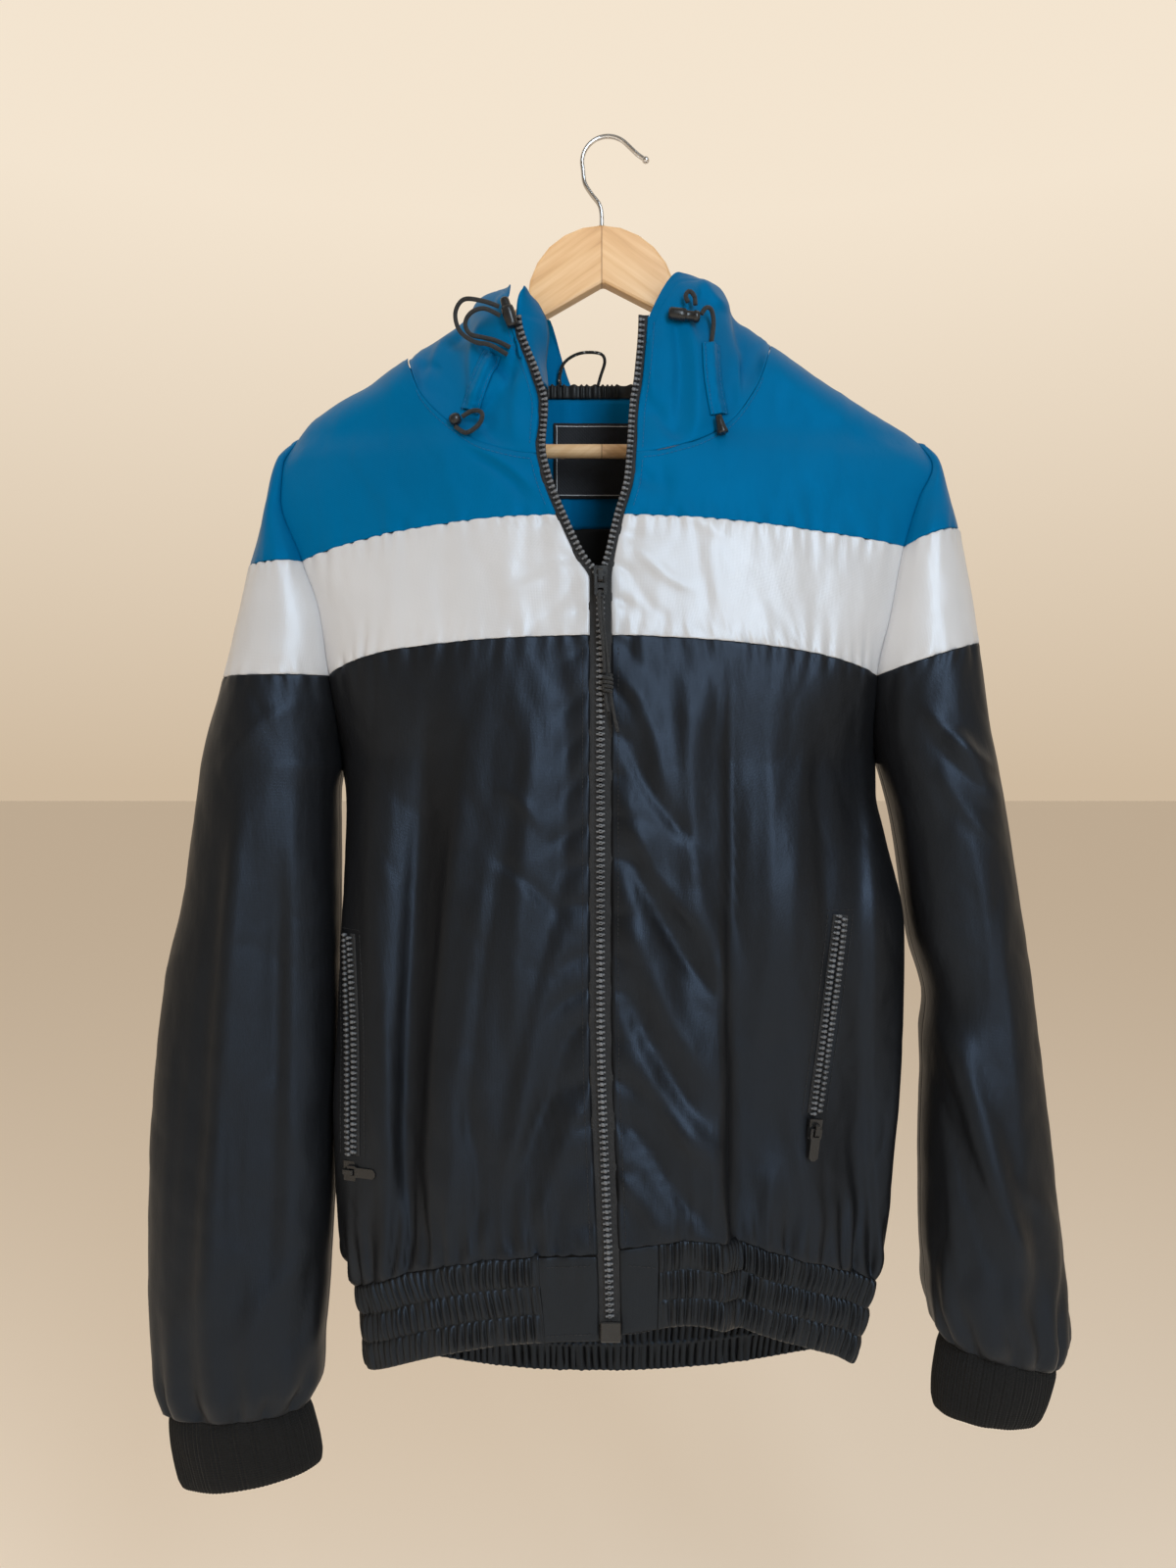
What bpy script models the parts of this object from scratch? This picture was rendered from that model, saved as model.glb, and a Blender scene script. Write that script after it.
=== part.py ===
"""Windbreaker jacket on a wooden hanger.

Metres, +Z up, the front faces -Y. The origin is the inner top of the hook's bend, where the
hanger hangs. Tables and sizes are in millimetres, and MM turns a finished point into metres.
Left and right are the viewer's. Every cloth piece is a grid of points that runs anticlockwise
seen from above, with rows from top to bottom, and becomes a closed wall round those points.
"""

import math

import bmesh
import bpy
from mathutils import Matrix, Vector
from mathutils.bvhtree import BVHTree

MM = 0.001
LEFT, RIGHT = -1, 1
SIDES = {LEFT: "left", RIGHT: "right"}

CLOTH = 1.2  # wall of the shell cloth
RIB_CLOTH = 2.0  # wall of the knitted cuffs and the elastic hem
SEAM = 0.4  # room between two sewn pieces
HOOD_FOOT = 0.5  # room under the hood, which stands up steeply from the neck seam
ON_TOP = 0.7  # room between a panel and what is laid on it
TAPE_WIDTH = 7.0  # one zip tape, from the teeth's middle line to the panel's edge
SHOULDER_ROUND = 30.0  # height over which front and back turn into the shoulder line
SLEEVE_PULL = 0.3  # share of a sleeve's round that bends to meet the armhole

CHEST_SEAM = {"middle": -278.5, LEFT: -304.0, RIGHT: -294.0}  # blue to white
BODY_SEAM = {"middle": -358.0, LEFT: -381.0, RIGHT: -381.0}  # white to charcoal
ARMPIT = -440.0
ZIP_TOP = -141.0
HEM_TOP = {"front": -758.0, "side": -796.0, "back": -826.0}
HEM_BOTTOM = {"front": -813.0, "side": -853.0, "back": -883.0}
BACK_MIDDLE = -6.0
HEM_RISE = {"side": RIGHT, "share": 0.14, "spread": 0.14, "height": 11.0}  # where the hem rides up
HEM_BLOCK = {LEFT: 37.0, RIGHT: 24.0}  # width of the plain hem block beside the zip
HEM_RIDGES = 110
CUFF_RIBS = 36
RIDGE_RISE = 1.3
RIB_RISE = 0.8


class Table:
    """Rows of numbers that give one smooth curve for each named column, along the first."""

    def __init__(self, columns, *rows):
        rows = sorted(rows)
        self.keys = [row[0] for row in rows]
        self.columns = {name: [row[i] for row in rows] for i, name in enumerate(columns)}

    def slope(self, values, i):
        """Tangent at row i that never overshoots its neighbours."""
        if i in (0, len(values) - 1):
            return 0.0
        before = (values[i] - values[i - 1]) / (self.keys[i] - self.keys[i - 1])
        after = (values[i + 1] - values[i]) / (self.keys[i + 1] - self.keys[i])
        return 2 * before * after / (before + after) if before * after > 0 else 0.0

    def __call__(self, column, at):
        keys, values = self.keys, self.columns[column]
        at = min(max(at, keys[0]), keys[-1])
        i = max(k for k in range(len(keys) - 1) if keys[k] <= at)
        step = keys[i + 1] - keys[i]
        t = (at - keys[i]) / step
        return (
            values[i] * (1 + 2 * t) * (1 - t) ** 2
            + values[i + 1] * t * t * (3 - 2 * t)
            + self.slope(values, i) * step * t * (1 - t) ** 2
            + self.slope(values, i + 1) * step * t * t * (t - 1)
        )


# Middle line of each row of teeth: open in a V at the top, closed below the slider.
ZIP = Table(
    ("z", "left", "right"),
    (-141, -58.0, 19.0),
    (-183, -45.0, 16.0),
    (-202, -40.0, 13.0),
    (-231, -41.5, 11.0),
    (-254, -37.0, 9.0),
    (-280, -27.0, 2.0),
    (-308, -14.0, -4.0),
    (-322, -6.0, -6.0),
    (-600, -6.0, -6.0),
    (-815, 0.0, 0.0),
)

# Body: half widths to the armhole or side seam, depths at the middle and at that seam, and how
# round the section is, from 0, open at the armhole, to 1, a closed ring.
TORSO = Table(
    ("z", "left", "right", "front_middle", "front_side", "back_middle", "back_side", "round"),
    (-141, 217, 217, -45, -18, 24, 15, 0.0),
    (-213, 217, 217, -51, -18, 26, 14, 0.0),
    (-235, 223, 222, -57, -24, 27, 16, 0.0),
    (-260, 223, 211, -61, -30, 28, 19, 0.0),
    (-300, 209, 198, -65, -35, 29, 21, 0.05),
    (-340, 195, 190, -68, -36, 30, 20, 0.15),
    (-381, 190, 182, -70, -30, 31, 16, 0.4),
    (-415, 187, 183, -71, -16, 32, 8, 0.34),
    (-440, 186, 187, -71, -4, 33, -4, 0.38),
    (-460, 183, 187, -71, -4, 33, -4, 0.5),
    (-489, 182, 193, -71, -4, 34, -4, 0.62),
    (-554, 183, 206, -71, -6, 35, -6, 0.86),
    (-648, 185, 202, -72, -8, 36, -8, 1.0),
    (-721, 186, 196, -74, -9, 37, -9, 1.0),
    (-769, 184, 192, -75, -9, 38, -9, 1.0),
    (-804, 172, 182, -75, -9, 37, -9, 1.0),
    (-882, 166, 165, -73, -9, 33, -9, 1.0),
)

SHOULDER = Table(
    ("x", "left", "right"),
    (0, -90, -82),
    (60, -116, -118),
    (113, -145, -150),
    (139, -160, -167),
    (204, -198, -206),
    (225, -218, -218),
)

# Seam between body and hood, by its share of the way from the zip to the armhole.
NECK = {
    "front": Table(
        ("share", "left", "right"),
        (0.0, -237, -236),
        (0.20, -231, -229),
        (0.36, -214, -214),
        (0.48, -193, -186),
        (0.53, -172, -163),
        (0.56, -160.5, -151.0),
    ),
    "back": Table(
        ("share", "left", "right"),
        (0.0, -181, -181),
        (0.30, -177, -175),
        (0.53, -167, -158),
        (0.56, -160.5, -151.0),
    ),
}
NECK_SHARE = 0.56  # where the neck seam meets the shoulder line
NECK_X = {LEFT: 139.0, RIGHT: 113.0}

# Sleeve sections, top to bottom: height at the armhole or underarm, virtual inner edge, outer
# edge with its height, half depth, middle depth, and the share of the ring open to the body.
SLEEVE = {
    LEFT: Table(
        ("z", "inner", "outer", "outer_z", "depth", "middle", "open"),
        (-218, 213, 222, -219, 10, -1, 0.50),
        (-230, 217, 229, -231, 22, -2, 0.50),
        (-260, 210, 236, -262, 34, -4, 0.50),
        (-304, 180, 247, -306, 42, -6, 0.40),
        (-381, 178, 265, -382, 45, -7, 0.25),
        (-415, 184, 274, -416, 45, -7, 0.10),
        (-440, 186, 280, -443, 45, -6, 0.0),
        (-460, 189, 283, -462, 45, -6, 0.0),
        (-538, 188, 295, -538, 43, -5, 0.0),
        (-590, 188, 307, -588, 42, -6, 0.0),
        (-648, 189, 313, -648, 41, -8, 0.0),
        (-749, 192, 316, -749, 40, -12, 0.0),
        (-818, 196, 315, -818, 39, -14, 0.0),
        (-861, 200, 311, -863, 36, -15, 0.0),
        (-880, 207, 304, -884, 30, -15, 0.0),
    ),
    RIGHT: Table(
        ("z", "inner", "outer", "outer_z", "depth", "middle", "open"),
        (-218, 213, 222, -219, 10, -1, 0.50),
        (-230, 216, 228, -230, 22, -2, 0.50),
        (-260, 188, 236, -255, 34, -4, 0.50),
        (-294, 175, 241, -280, 42, -6, 0.40),
        (-381, 172, 254, -358, 45, -7, 0.25),
        (-415, 180, 258, -388, 45, -7, 0.10),
        (-440, 189, 262, -412, 45, -6, 0.0),
        (-458, 194, 266, -432, 45, -6, 0.0),
        (-489, 201, 272, -462, 44, -5, 0.0),
        (-559, 212, 284, -540, 43, -5, 0.0),
        (-607, 224, 292, -595, 41, -6, 0.0),
        (-634, 221, 296, -632, 41, -8, 0.0),
        (-730, 218, 305, -728, 40, -12, 0.0),
        (-795, 218, 313, -796, 38, -14, 0.0),
        (-823, 223, 315, -834, 34, -15, 0.0),
        (-835, 229, 309, -854, 29, -15, 0.0),
    ),
}
# Cuff: inner and outer edge at its top and bottom, each an (x, z) pair, and its half depths.
CUFF = {
    LEFT: {"top": ((208, -881), (302, -885)), "bottom": ((199, -921), (294, -936))},
    RIGHT: {"top": ((230, -836), (308, -855)), "bottom": ((225, -884), (297, -891))},
}
CUFF_DEPTH = {"top": 28.0, "bottom": 26.0}
CUFF_Y = -15.0

# Folds of the body's front: side, start and end (x, z), half width, and rise out of the cloth.
FRONT_FOLDS = (
    (LEFT, (-126, -430), (-128, -790), 14, -6.0),
    (LEFT, (-70, -500), (-108, -760), 18, 6.0),
    (LEFT, (-160, -420), (-152, -720), 12, 4.0),
    (LEFT, (-30, -420), (-38, -750), 11, -2.5),
    (RIGHT, (22, -440), (82, -600), 12, 5.0),
    (RIGHT, (14, -520), (72, -740), 12, 5.0),
    (RIGHT, (40, -480), (46, -700), 12, -3.0),
    (RIGHT, (120, -470), (132, -760), 16, 4.0),
    (RIGHT, (166, -430), (170, -760), 13, -4.0),
)
STEP_FOLD = {"x": 80.0, "top": -520.0, "full": -700.0, "half_width": 9.0, "drop": 20.0}
BACK_FOLDS = (
    (LEFT, (-120, -420), (-110, -790), 18, -5.0),
    (LEFT, (-60, -460), (-52, -780), 18, 4.0),
    (RIGHT, (50, -440), (44, -790), 18, 4.0),
    (RIGHT, (112, -420), (120, -790), 20, -5.0),
)
SLEEVE_FOLDS = {
    LEFT: (((-245, -470), (-268, -840), 9, 5.0), ((-222, -520), (-232, -800), 10, -4.0)),
    RIGHT: (((226, -420), (262, -470), 8, 5.0), ((228, -612), (276, -780), 9, 5.0)),
}

# Hood profiles from the face edge down to the neck seam: edge, outer fold, inner fold, crest.
# A standing front column has them in one line, and a back column as a hanging pouch.
HOOD = (
    # (side, share of neck), edge, outer low, inner low, crest
    ((RIGHT, "front", 0.00), (26, -45, -144), (24, -47, -170), (22, -49, -190), (19, -51, -212)),
    ((RIGHT, "front", 0.20), (48, -30, -107), (50, -38, -126), (52, -44, -160), (54, -48, -195)),
    ((RIGHT, "front", 0.36), (71, -10, -109), (76, -20, -116), (80, -30, -145), (81, -38, -180)),
    ((RIGHT, "front", 0.48), (80, 10, -122), (86, -2, -126), (93, -14, -138), (98, -25, -160)),
    ((RIGHT, "front", 0.53), (90, 24, -140), (97, 12, -138), (103, -1, -140), (107, -15, -148)),
    ((RIGHT, "back", 0.56), (100, 42, -160), (112, 36, -160), (113, 26, -152), (111, 14, -142)),
    ((RIGHT, "back", 0.48), (100, 50, -178), (112, 48, -244), (108, 38, -240), (97, 27, -152)),
    ((RIGHT, "back", 0.30), (84, 54, -196), (88, 52, -352), (86, 41, -357), (60, 33, -166)),
    ((RIGHT, "back", 0.00), (-6, 56, -212), (-6, 54, -398), (-6, 42, -404), (-6, 34, -190)),
    ((LEFT, "back", 0.07), (-24, 55, -210), (-26, 53, -393), (-25, 42, -399), (-23, 33, -184)),
    ((LEFT, "back", 0.15), (-48, 55, -206), (-52, 53, -384), (-50, 41, -390), (-43, 31, -124)),
    ((LEFT, "back", 0.30), (-100, 54, -200), (-104, 52, -356), (-102, 41, -361), (-80, 31, -124)),
    ((LEFT, "back", 0.48), (-122, 50, -182), (-134, 48, -252), (-130, 38, -248), (-118, 27, -148)),
    ((LEFT, "back", 0.56), (-124, 42, -170), (-138, 36, -170), (-138, 26, -160), (-136, 14, -151)),
    ((LEFT, "front", 0.53), (-108, 26, -148), (-118, 14, -146), (-126, 0, -148), (-132, -16, -157)),
    ((LEFT, "front", 0.48), (-92, 12, -128), (-103, 0, -134), (-113, -14, -146), (-122, -26, -168)),
    ((LEFT, "front", 0.36), (-78, -8, -116), (-88, -16, -120), (-97, -28, -150), (-104, -37, -184)),
    ((LEFT, "front", 0.20), (-66, -28, -115), (-72, -36, -132), (-78, -43, -165), (-82, -47, -200)),
    ((LEFT, "front", 0.00), (-65, -45, -141), (-61, -47, -166), (-52, -49, -188), (-47, -51, -210)),
)

# Grid lines: shares across a panel, and shares down the yoke, the band and the lower body.
ACROSS = {
    "front": (0.0, 0.1, 0.2, 0.28, 0.36, 0.42, 0.48, 0.53, 0.56, 0.64, 0.72, 0.8, 0.87, 0.94, 1.0),
    "back": (0.0, 0.15, 0.3, 0.42, 0.53, 0.56, 0.68, 0.8, 0.9, 1.0),
}
YOKE_ROWS = (0.0, 0.015, 0.06, 0.14, 0.28, 0.55, 1.0)
BAND_ROWS = (0.0, 0.2, 0.4, 0.6, 1.0)
LOWER_ROWS = 8
SLEEVE_AROUND = 16
CUFF_ROWS = 1
HOOD_ROWS = 12

COLOURS = {
    # colour, roughness, metallic
    "blue": ((0.01, 0.14, 0.31, 1), 0.55, 0.0),
    "white": ((0.75, 0.73, 0.73, 1), 0.6, 0.0),
    "charcoal": ((0.028, 0.032, 0.037, 1), 0.5, 0.0),
    "lining": ((0.012, 0.012, 0.014, 1), 0.7, 0.0),
    "label": ((0.008, 0.009, 0.012, 1), 0.8, 0.0),
    "cord": ((0.02, 0.021, 0.023, 1), 0.7, 0.0),
    "plastic": ((0.03, 0.03, 0.032, 1), 0.4, 0.0),
    "teeth": ((0.14, 0.15, 0.16, 1), 0.45, 0.0),
    "wood": ((0.7, 0.43, 0.22, 1), 0.45, 0.0),
    "steel": ((0.72, 0.72, 0.74, 1), 0.2, 1.0),
}


# ---------------------------------------------------------------- scene helpers


def clear_scene():
    for obj in list(bpy.data.objects):
        bpy.data.objects.remove(obj, do_unlink=True)


def material(name):
    found = bpy.data.materials.get(name)
    if found:
        return found
    colour, roughness, metallic = COLOURS[name]
    made = bpy.data.materials.new(name)
    made.use_nodes = True
    shader = made.node_tree.nodes["Principled BSDF"]
    shader.inputs["Base Color"].default_value = colour
    shader.inputs["Roughness"].default_value = roughness
    shader.inputs["Metallic"].default_value = metallic
    return made


def collection():
    found = bpy.data.collections.get("windbreaker_jacket")
    if not found:
        found = bpy.data.collections.new("windbreaker_jacket")
        bpy.context.scene.collection.children.link(found)
    return found


def add_object(name, data, colour):
    obj = bpy.data.objects.new(name, data)
    data.materials.append(material(colour))
    collection().objects.link(obj)
    return obj


def add_mesh(name, shape, colour, smooth=True):
    """Turns a bmesh in millimetres into an object in metres."""
    bmesh.ops.scale(shape, vec=(MM, MM, MM), verts=shape.verts)
    mesh = bpy.data.meshes.new(name)
    shape.to_mesh(mesh)
    shape.free()
    if smooth:
        mesh.shade_smooth()
    return add_object(name, mesh, colour)


# ---------------------------------------------------------------- surfaces


def mix(a, b, t):
    return a + (b - a) * t


def smoothstep(t):
    t = min(max(t, 0.0), 1.0)
    return t * t * (3 - 2 * t)


def fold_rise(folds, x, z):
    """Sum of the folds at a place: a bell across each fold's line, which fades at its ends."""
    rise = 0.0
    for start, end, half_width, height in folds:
        along = Vector((end[0] - start[0], end[1] - start[1]))
        there = Vector((x - start[0], z - start[1]))
        share = there.dot(along) / along.length_squared
        if -0.1 < share < 1.1:
            off = (there - along * share).length / half_width
            fade = smoothstep((share + 0.1) / 0.3) * smoothstep((1.1 - share) / 0.3)
            rise += height * fade * math.exp(-off * off)
    return rise


def zip_x(side, z):
    return ZIP(SIDES[side], z)


def torso(face, side, share, z):
    """A point of the body, share 0 at the zip or the back's middle and 1 at the armhole or side."""
    name = SIDES[side]
    edge = zip_x(side, z) + side * TAPE_WIDTH if face == "front" else BACK_MIDDLE
    seam_x = side * TORSO(name, z)
    roundness = TORSO("round", z)
    turn = 0.5 * math.pi * share
    if share < NECK_SHARE:
        flat_x = mix(edge, side * NECK_X[side], share / NECK_SHARE)
    else:
        flat_x = mix(side * NECK_X[side], seam_x, (share - NECK_SHARE) / (1 - NECK_SHARE))
    forward = mix(1 - share * share, math.cos(turn) ** 0.7 if share < 1 else 0.0, roundness)
    x = mix(flat_x, mix(edge, seam_x, math.sin(turn) ** 0.85), roundness)
    y = mix(TORSO(face + "_side", z), TORSO(face + "_middle", z), forward)
    folds = FRONT_FOLDS if face == "front" else BACK_FOLDS
    rise = fold_rise([f[1:] for f in folds if f[0] == side], x, z) * min(1, 6 * share * (1 - share))
    if face == "front":
        y -= rise
        if side == RIGHT:
            depth = smoothstep((STEP_FOLD["top"] - z) / (STEP_FOLD["top"] - STEP_FOLD["full"]))
            past = smoothstep(0.5 + (x - STEP_FOLD["x"]) / (2 * STEP_FOLD["half_width"]))
            y += STEP_FOLD["drop"] * depth * past * smoothstep((1 - share) / 0.35)
    else:
        y += rise
    below = SHOULDER(name, abs(x)) - z
    up = 1 - min(max(below / SHOULDER_ROUND, 0.0), 1.0)
    return Vector((x, y * math.sqrt(1 - up * up), z))


def top_line(face, side, share):
    """Height of the yoke's top: the neck seam, then the shoulder line."""
    if share <= NECK_SHARE:
        return NECK[face](SIDES[side], share)
    low, high = -260.0, -90.0
    for _ in range(40):
        middle = (low + high) / 2
        x = abs(torso(face, side, share, middle).x)
        if SHOULDER(SIDES[side], x) > middle:
            low = middle
        else:
            high = middle
    return low


def seam_line(seam, side, share):
    return mix(seam["middle"], seam[side], share**1.7)


def hem_line(line, face, side, share):
    height = mix(line[face], line["side"], math.sin(0.5 * math.pi * share) ** 2)
    if (face, side) == ("front", HEM_RISE["side"]):
        off = (share - HEM_RISE["share"]) / HEM_RISE["spread"]
        height += HEM_RISE["height"] * math.exp(-off * off)
    return height


def front_columns(side):
    """(side, share) of each column of one front, anticlockwise seen from above."""
    columns = [(side, share) for share in ACROSS["front"]]
    return columns[::-1] if side == LEFT else columns


def back_columns():
    right = [(RIGHT, share) for share in ACROSS["back"]]
    left = [(LEFT, share) for share in ACROSS["back"]]
    return right[::-1] + left[1:]


def body_grid(face, columns, top, bottom, rows):
    """Rows of points between two lines; each line gives a height for (side, share)."""
    grid = []
    for t in rows:
        line = []
        for side, share in columns:
            z = mix(top(side, share), bottom(side, share), t)
            line.append(torso(face, side, share, z))
        grid.append(line)
    return grid


def lower_rows():
    """Shares down the lower body, two of them at the heights where the sleeve still joins it."""
    seam, hem = BODY_SEAM[LEFT], HEM_TOP["side"]
    armpit = (ARMPIT - seam) / (hem - seam)
    rest = [mix(armpit, 1.0, (i + 1) / LOWER_ROWS) for i in range(LOWER_ROWS)]
    return [0.0, armpit * 0.5, armpit] + rest


def sleeve_point(side, share, z):
    """A point of the sleeve, share 0 at the front of the armhole and 1 at its back."""
    row = SLEEVE[side]
    turn = mix(row("open", z), 2 - row("open", z), share) * math.pi
    outward = (1 - math.cos(turn)) / 2
    x = side * mix(row("inner", z), row("outer", z), outward)
    height = mix(z, row("outer_z", z), outward)
    wave = math.copysign(abs(math.sin(turn)) ** 0.8, math.sin(turn))
    y = row("middle", z) - row("depth", z) * wave
    if y < row("middle", z):
        y -= fold_rise(SLEEVE_FOLDS[side], x, height)
    else:
        y = min(y + 0.6 * fold_rise(SLEEVE_FOLDS[side], x, height), 56)
    return Vector((x, y, height))


def sleeve(side, share, z):
    """The sleeve's surface with its two ends drawn to the armhole, where it opens to the body."""
    point = sleeve_point(side, share, z)
    if z >= ARMPIT:
        for face, end, away in (("front", 0.0, share), ("back", 1.0, 1 - share)):
            pull = max(0.0, 1 - away / SLEEVE_PULL) ** 2
            point += (torso(face, side, 1.0, z) - sleeve_point(side, end, z)) * pull
    return point


def sleeve_shares(side, count):
    """Anticlockwise: on the left the sleeve runs from its back round to its front."""
    shares = [i / count for i in range(count + 1)]
    return shares[::-1] if side == LEFT else shares


def sleeve_grid(side, heights):
    shares = sleeve_shares(side, SLEEVE_AROUND)
    return [[sleeve(side, share, z) for share in shares] for z in heights]


def profile_point(keys, t):
    """Catmull-Rom curve through a column's key points."""
    last = len(keys) - 1
    i = min(int(t * last), last - 1)
    u = t * last - i
    a, b = keys[max(i - 1, 0)], keys[i]
    c, d = keys[i + 1], keys[min(i + 2, last)]
    return 0.5 * (
        2 * b + (c - a) * u + (2 * a - 5 * b + 4 * c - d) * u**2 + (3 * b - a - 3 * c + d) * u**3
    )


def neck_place(side, face, share):
    """Place along the neck seam, from 0 at the right of the zip to 4 at its left."""
    within = share / NECK_SHARE
    if side == RIGHT:
        return within if face == "front" else 2 - within
    return 2 + within if face == "back" else 4 - within


def hood_columns():
    """(side, face, share) round the neck, anticlockwise from the zip's right to its left."""
    front = [share for share in ACROSS["front"] if share <= NECK_SHARE]
    back = [share for share in ACROSS["back"] if share <= NECK_SHARE]
    right = [(RIGHT, "front", share) for share in front]
    right += [(RIGHT, "back", share) for share in back[-2::-1]]
    left = [(LEFT, "back", share) for share in back[1:]]
    left += [(LEFT, "front", share) for share in front[-2::-1]]
    return right + left


def hood_keys(place):
    """The four free key points of a hood column, blended between the table's rows."""
    tables = []
    for key in range(4):
        for axis in range(3):
            rows = [(neck_place(*row[0]), row[1 + key][axis]) for row in HOOD]
            tables.append(Table(("place", "value"), *rows))
    values = [table("value", place) for table in tables]
    return [Vector(values[3 * key : 3 * key + 3]) for key in range(4)]


def hood_grid(columns):
    grid = [[] for _ in range(HOOD_ROWS + 1)]
    for side, face, share in columns:
        seam = torso(face, side, share, NECK[face](SIDES[side], share))
        keys = hood_keys(neck_place(side, face, share)) + [seam]
        for i, line in enumerate(grid):
            point = profile_point(keys, i / HOOD_ROWS)
            if face == "front" and share == 0.0:
                point.z = mix(ZIP_TOP, seam.z, i / HOOD_ROWS)
                point.x = zip_x(side, point.z) + side * TAPE_WIDTH
                point.y = TORSO("front_middle", point.z)
            line.append(point)
    return grid


# ---------------------------------------------------------------- walls


def key_of(point):
    return tuple(round(c, 2) for c in point)


def add_normals(normals, grid):
    """Adds each face's normal to its corners, so that pieces that meet share one direction."""
    for i in range(len(grid) - 1):
        for j in range(len(grid[0]) - 1):
            a, b = grid[i][j], grid[i][j + 1]
            c, d = grid[i + 1][j + 1], grid[i + 1][j]
            normal = (c - a).cross(b - d)
            for corner in (a, b, c, d):
                key = key_of(corner)
                normals[key] = normals.get(key, Vector()) + normal


def inset(grid, by, foot, ring):
    """Draws a grid's edges in by the seam's room, along the cloth; foot is for its last row."""
    rows, columns = len(grid), len(grid[0])
    moved = [[point.copy() for point in line] for line in grid]

    def draw(i, j, inner_i, inner_j, length):
        step = grid[inner_i][inner_j] - grid[i][j]
        if step.length > 1e-6:
            moved[i][j] += step.normalized() * length

    for j in range(columns):
        draw(0, j, 1, j, by)
        draw(rows - 1, j, rows - 2, j, foot)
    if not ring:
        for i in range(rows):
            draw(i, 0, i, 1, by)
            draw(i, columns - 1, i, columns - 2, by)
    return moved


def wall(name, colour, grid, normals, thickness=CLOTH, rise=None, ring=False, pole=False, foot=0.2):
    """A closed wall round a grid. rise(i, j) lifts outer points, a ring joins its first and last
    columns, a pole has one point for its whole top row, and foot is the last row's inset."""
    drawn = inset(grid, SEAM / 2, foot, ring)
    if pole:
        tip = sum(drawn[0], Vector()) / len(drawn[0])
        drawn[0] = [tip.copy() for _ in drawn[0]]
    columns = len(grid[0]) - (1 if ring else 0)
    shape = bmesh.new()
    layers = []
    for outer in (True, False):
        layer = []
        for i, line in enumerate(drawn):
            verts = []
            for j in range(columns):
                normal = normals[key_of(grid[i][j])].normalized()
                offset = thickness / 2 if outer else -thickness / 2
                if outer and rise:
                    offset += rise(i, j)
                verts.append(shape.verts.new(line[j] + normal * offset))
            layer.append(verts)
        layers.append(layer)
    outer, inner = layers
    rows = len(grid)
    spans = range(columns if ring else columns - 1)
    for i in range(rows - 1):
        for j in spans:
            k = (j + 1) % columns
            shape.faces.new((outer[i][j], outer[i + 1][j], outer[i + 1][k], outer[i][k]))
            shape.faces.new((inner[i][j], inner[i][k], inner[i + 1][k], inner[i + 1][j]))
        if not ring:
            last = columns - 1
            shape.faces.new((outer[i][0], inner[i][0], inner[i + 1][0], outer[i + 1][0]))
            shape.faces.new((outer[i][last], outer[i + 1][last], inner[i + 1][last], inner[i][last]))
    for j in spans:
        k = (j + 1) % columns
        shape.faces.new((outer[0][j], outer[0][k], inner[0][k], inner[0][j]))
        shape.faces.new((outer[-1][j], inner[-1][j], inner[-1][k], outer[-1][k]))
    bmesh.ops.remove_doubles(shape, verts=shape.verts, dist=1e-4)
    return add_mesh(name, shape, colour)


def cloth_pieces():
    """Every sewn piece of the body and sleeves as (name, colour, grid)."""
    pieces = []
    lower = lower_rows()

    def chest(side, share):
        return seam_line(CHEST_SEAM, side, share)

    def waist(side, share):
        return seam_line(BODY_SEAM, side, share)

    for side, name in SIDES.items():
        columns = front_columns(side)
        yoke = body_grid("front", columns, lambda s, a: top_line("front", s, a), chest, YOKE_ROWS)
        band = body_grid("front", columns, chest, waist, BAND_ROWS)
        hem = body_grid("front", columns, waist, lambda s, a: hem_line(HEM_TOP, "front", s, a), lower)
        pieces.append((f"front_yoke_{name}", "blue", yoke))
        pieces.append((f"front_band_{name}", "white", band))
        pieces.append((f"front_lower_{name}", "charcoal", hem))
    columns = back_columns()
    yoke = body_grid("back", columns, lambda s, a: top_line("back", s, a), chest, YOKE_ROWS)
    band = body_grid("back", columns, chest, waist, BAND_ROWS)
    hem = body_grid("back", columns, waist, lambda s, a: hem_line(HEM_TOP, "back", s, a), lower)
    pieces.append(("back_yoke", "blue", yoke))
    pieces.append(("back_band", "white", band))
    pieces.append(("back_lower", "charcoal", hem))
    return pieces


def sleeve_pieces():
    pieces = []
    for side, name in SIDES.items():
        tip = top_line("front", side, 1.0)
        chest, waist = CHEST_SEAM[side], BODY_SEAM[side]
        end = SLEEVE[side].keys[0]
        long_rows = [mix(ARMPIT, end, (i + 1) / 11) for i in range(11)]
        main = [waist, mix(waist, ARMPIT, 0.5), ARMPIT] + long_rows
        cap = sleeve_grid(side, [mix(tip, chest, t) for t in YOKE_ROWS])
        cap[0] = [torso("front", side, 1.0, tip)] * len(cap[0])
        pieces.append((f"sleeve_cap_{name}", "blue", cap))
        band = sleeve_grid(side, [mix(chest, waist, t) for t in BAND_ROWS])
        pieces.append((f"sleeve_band_{name}", "white", band))
        pieces.append((f"sleeve_main_{name}", "charcoal", sleeve_grid(side, main)))
    return pieces


def hood_pieces():
    columns = hood_columns()
    middle = columns.index((RIGHT, "back", 0.0))
    return [
        ("hood_right", "blue", hood_grid(columns[: middle + 1])),
        ("hood_left", "blue", hood_grid(columns[middle:])),
    ]


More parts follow.
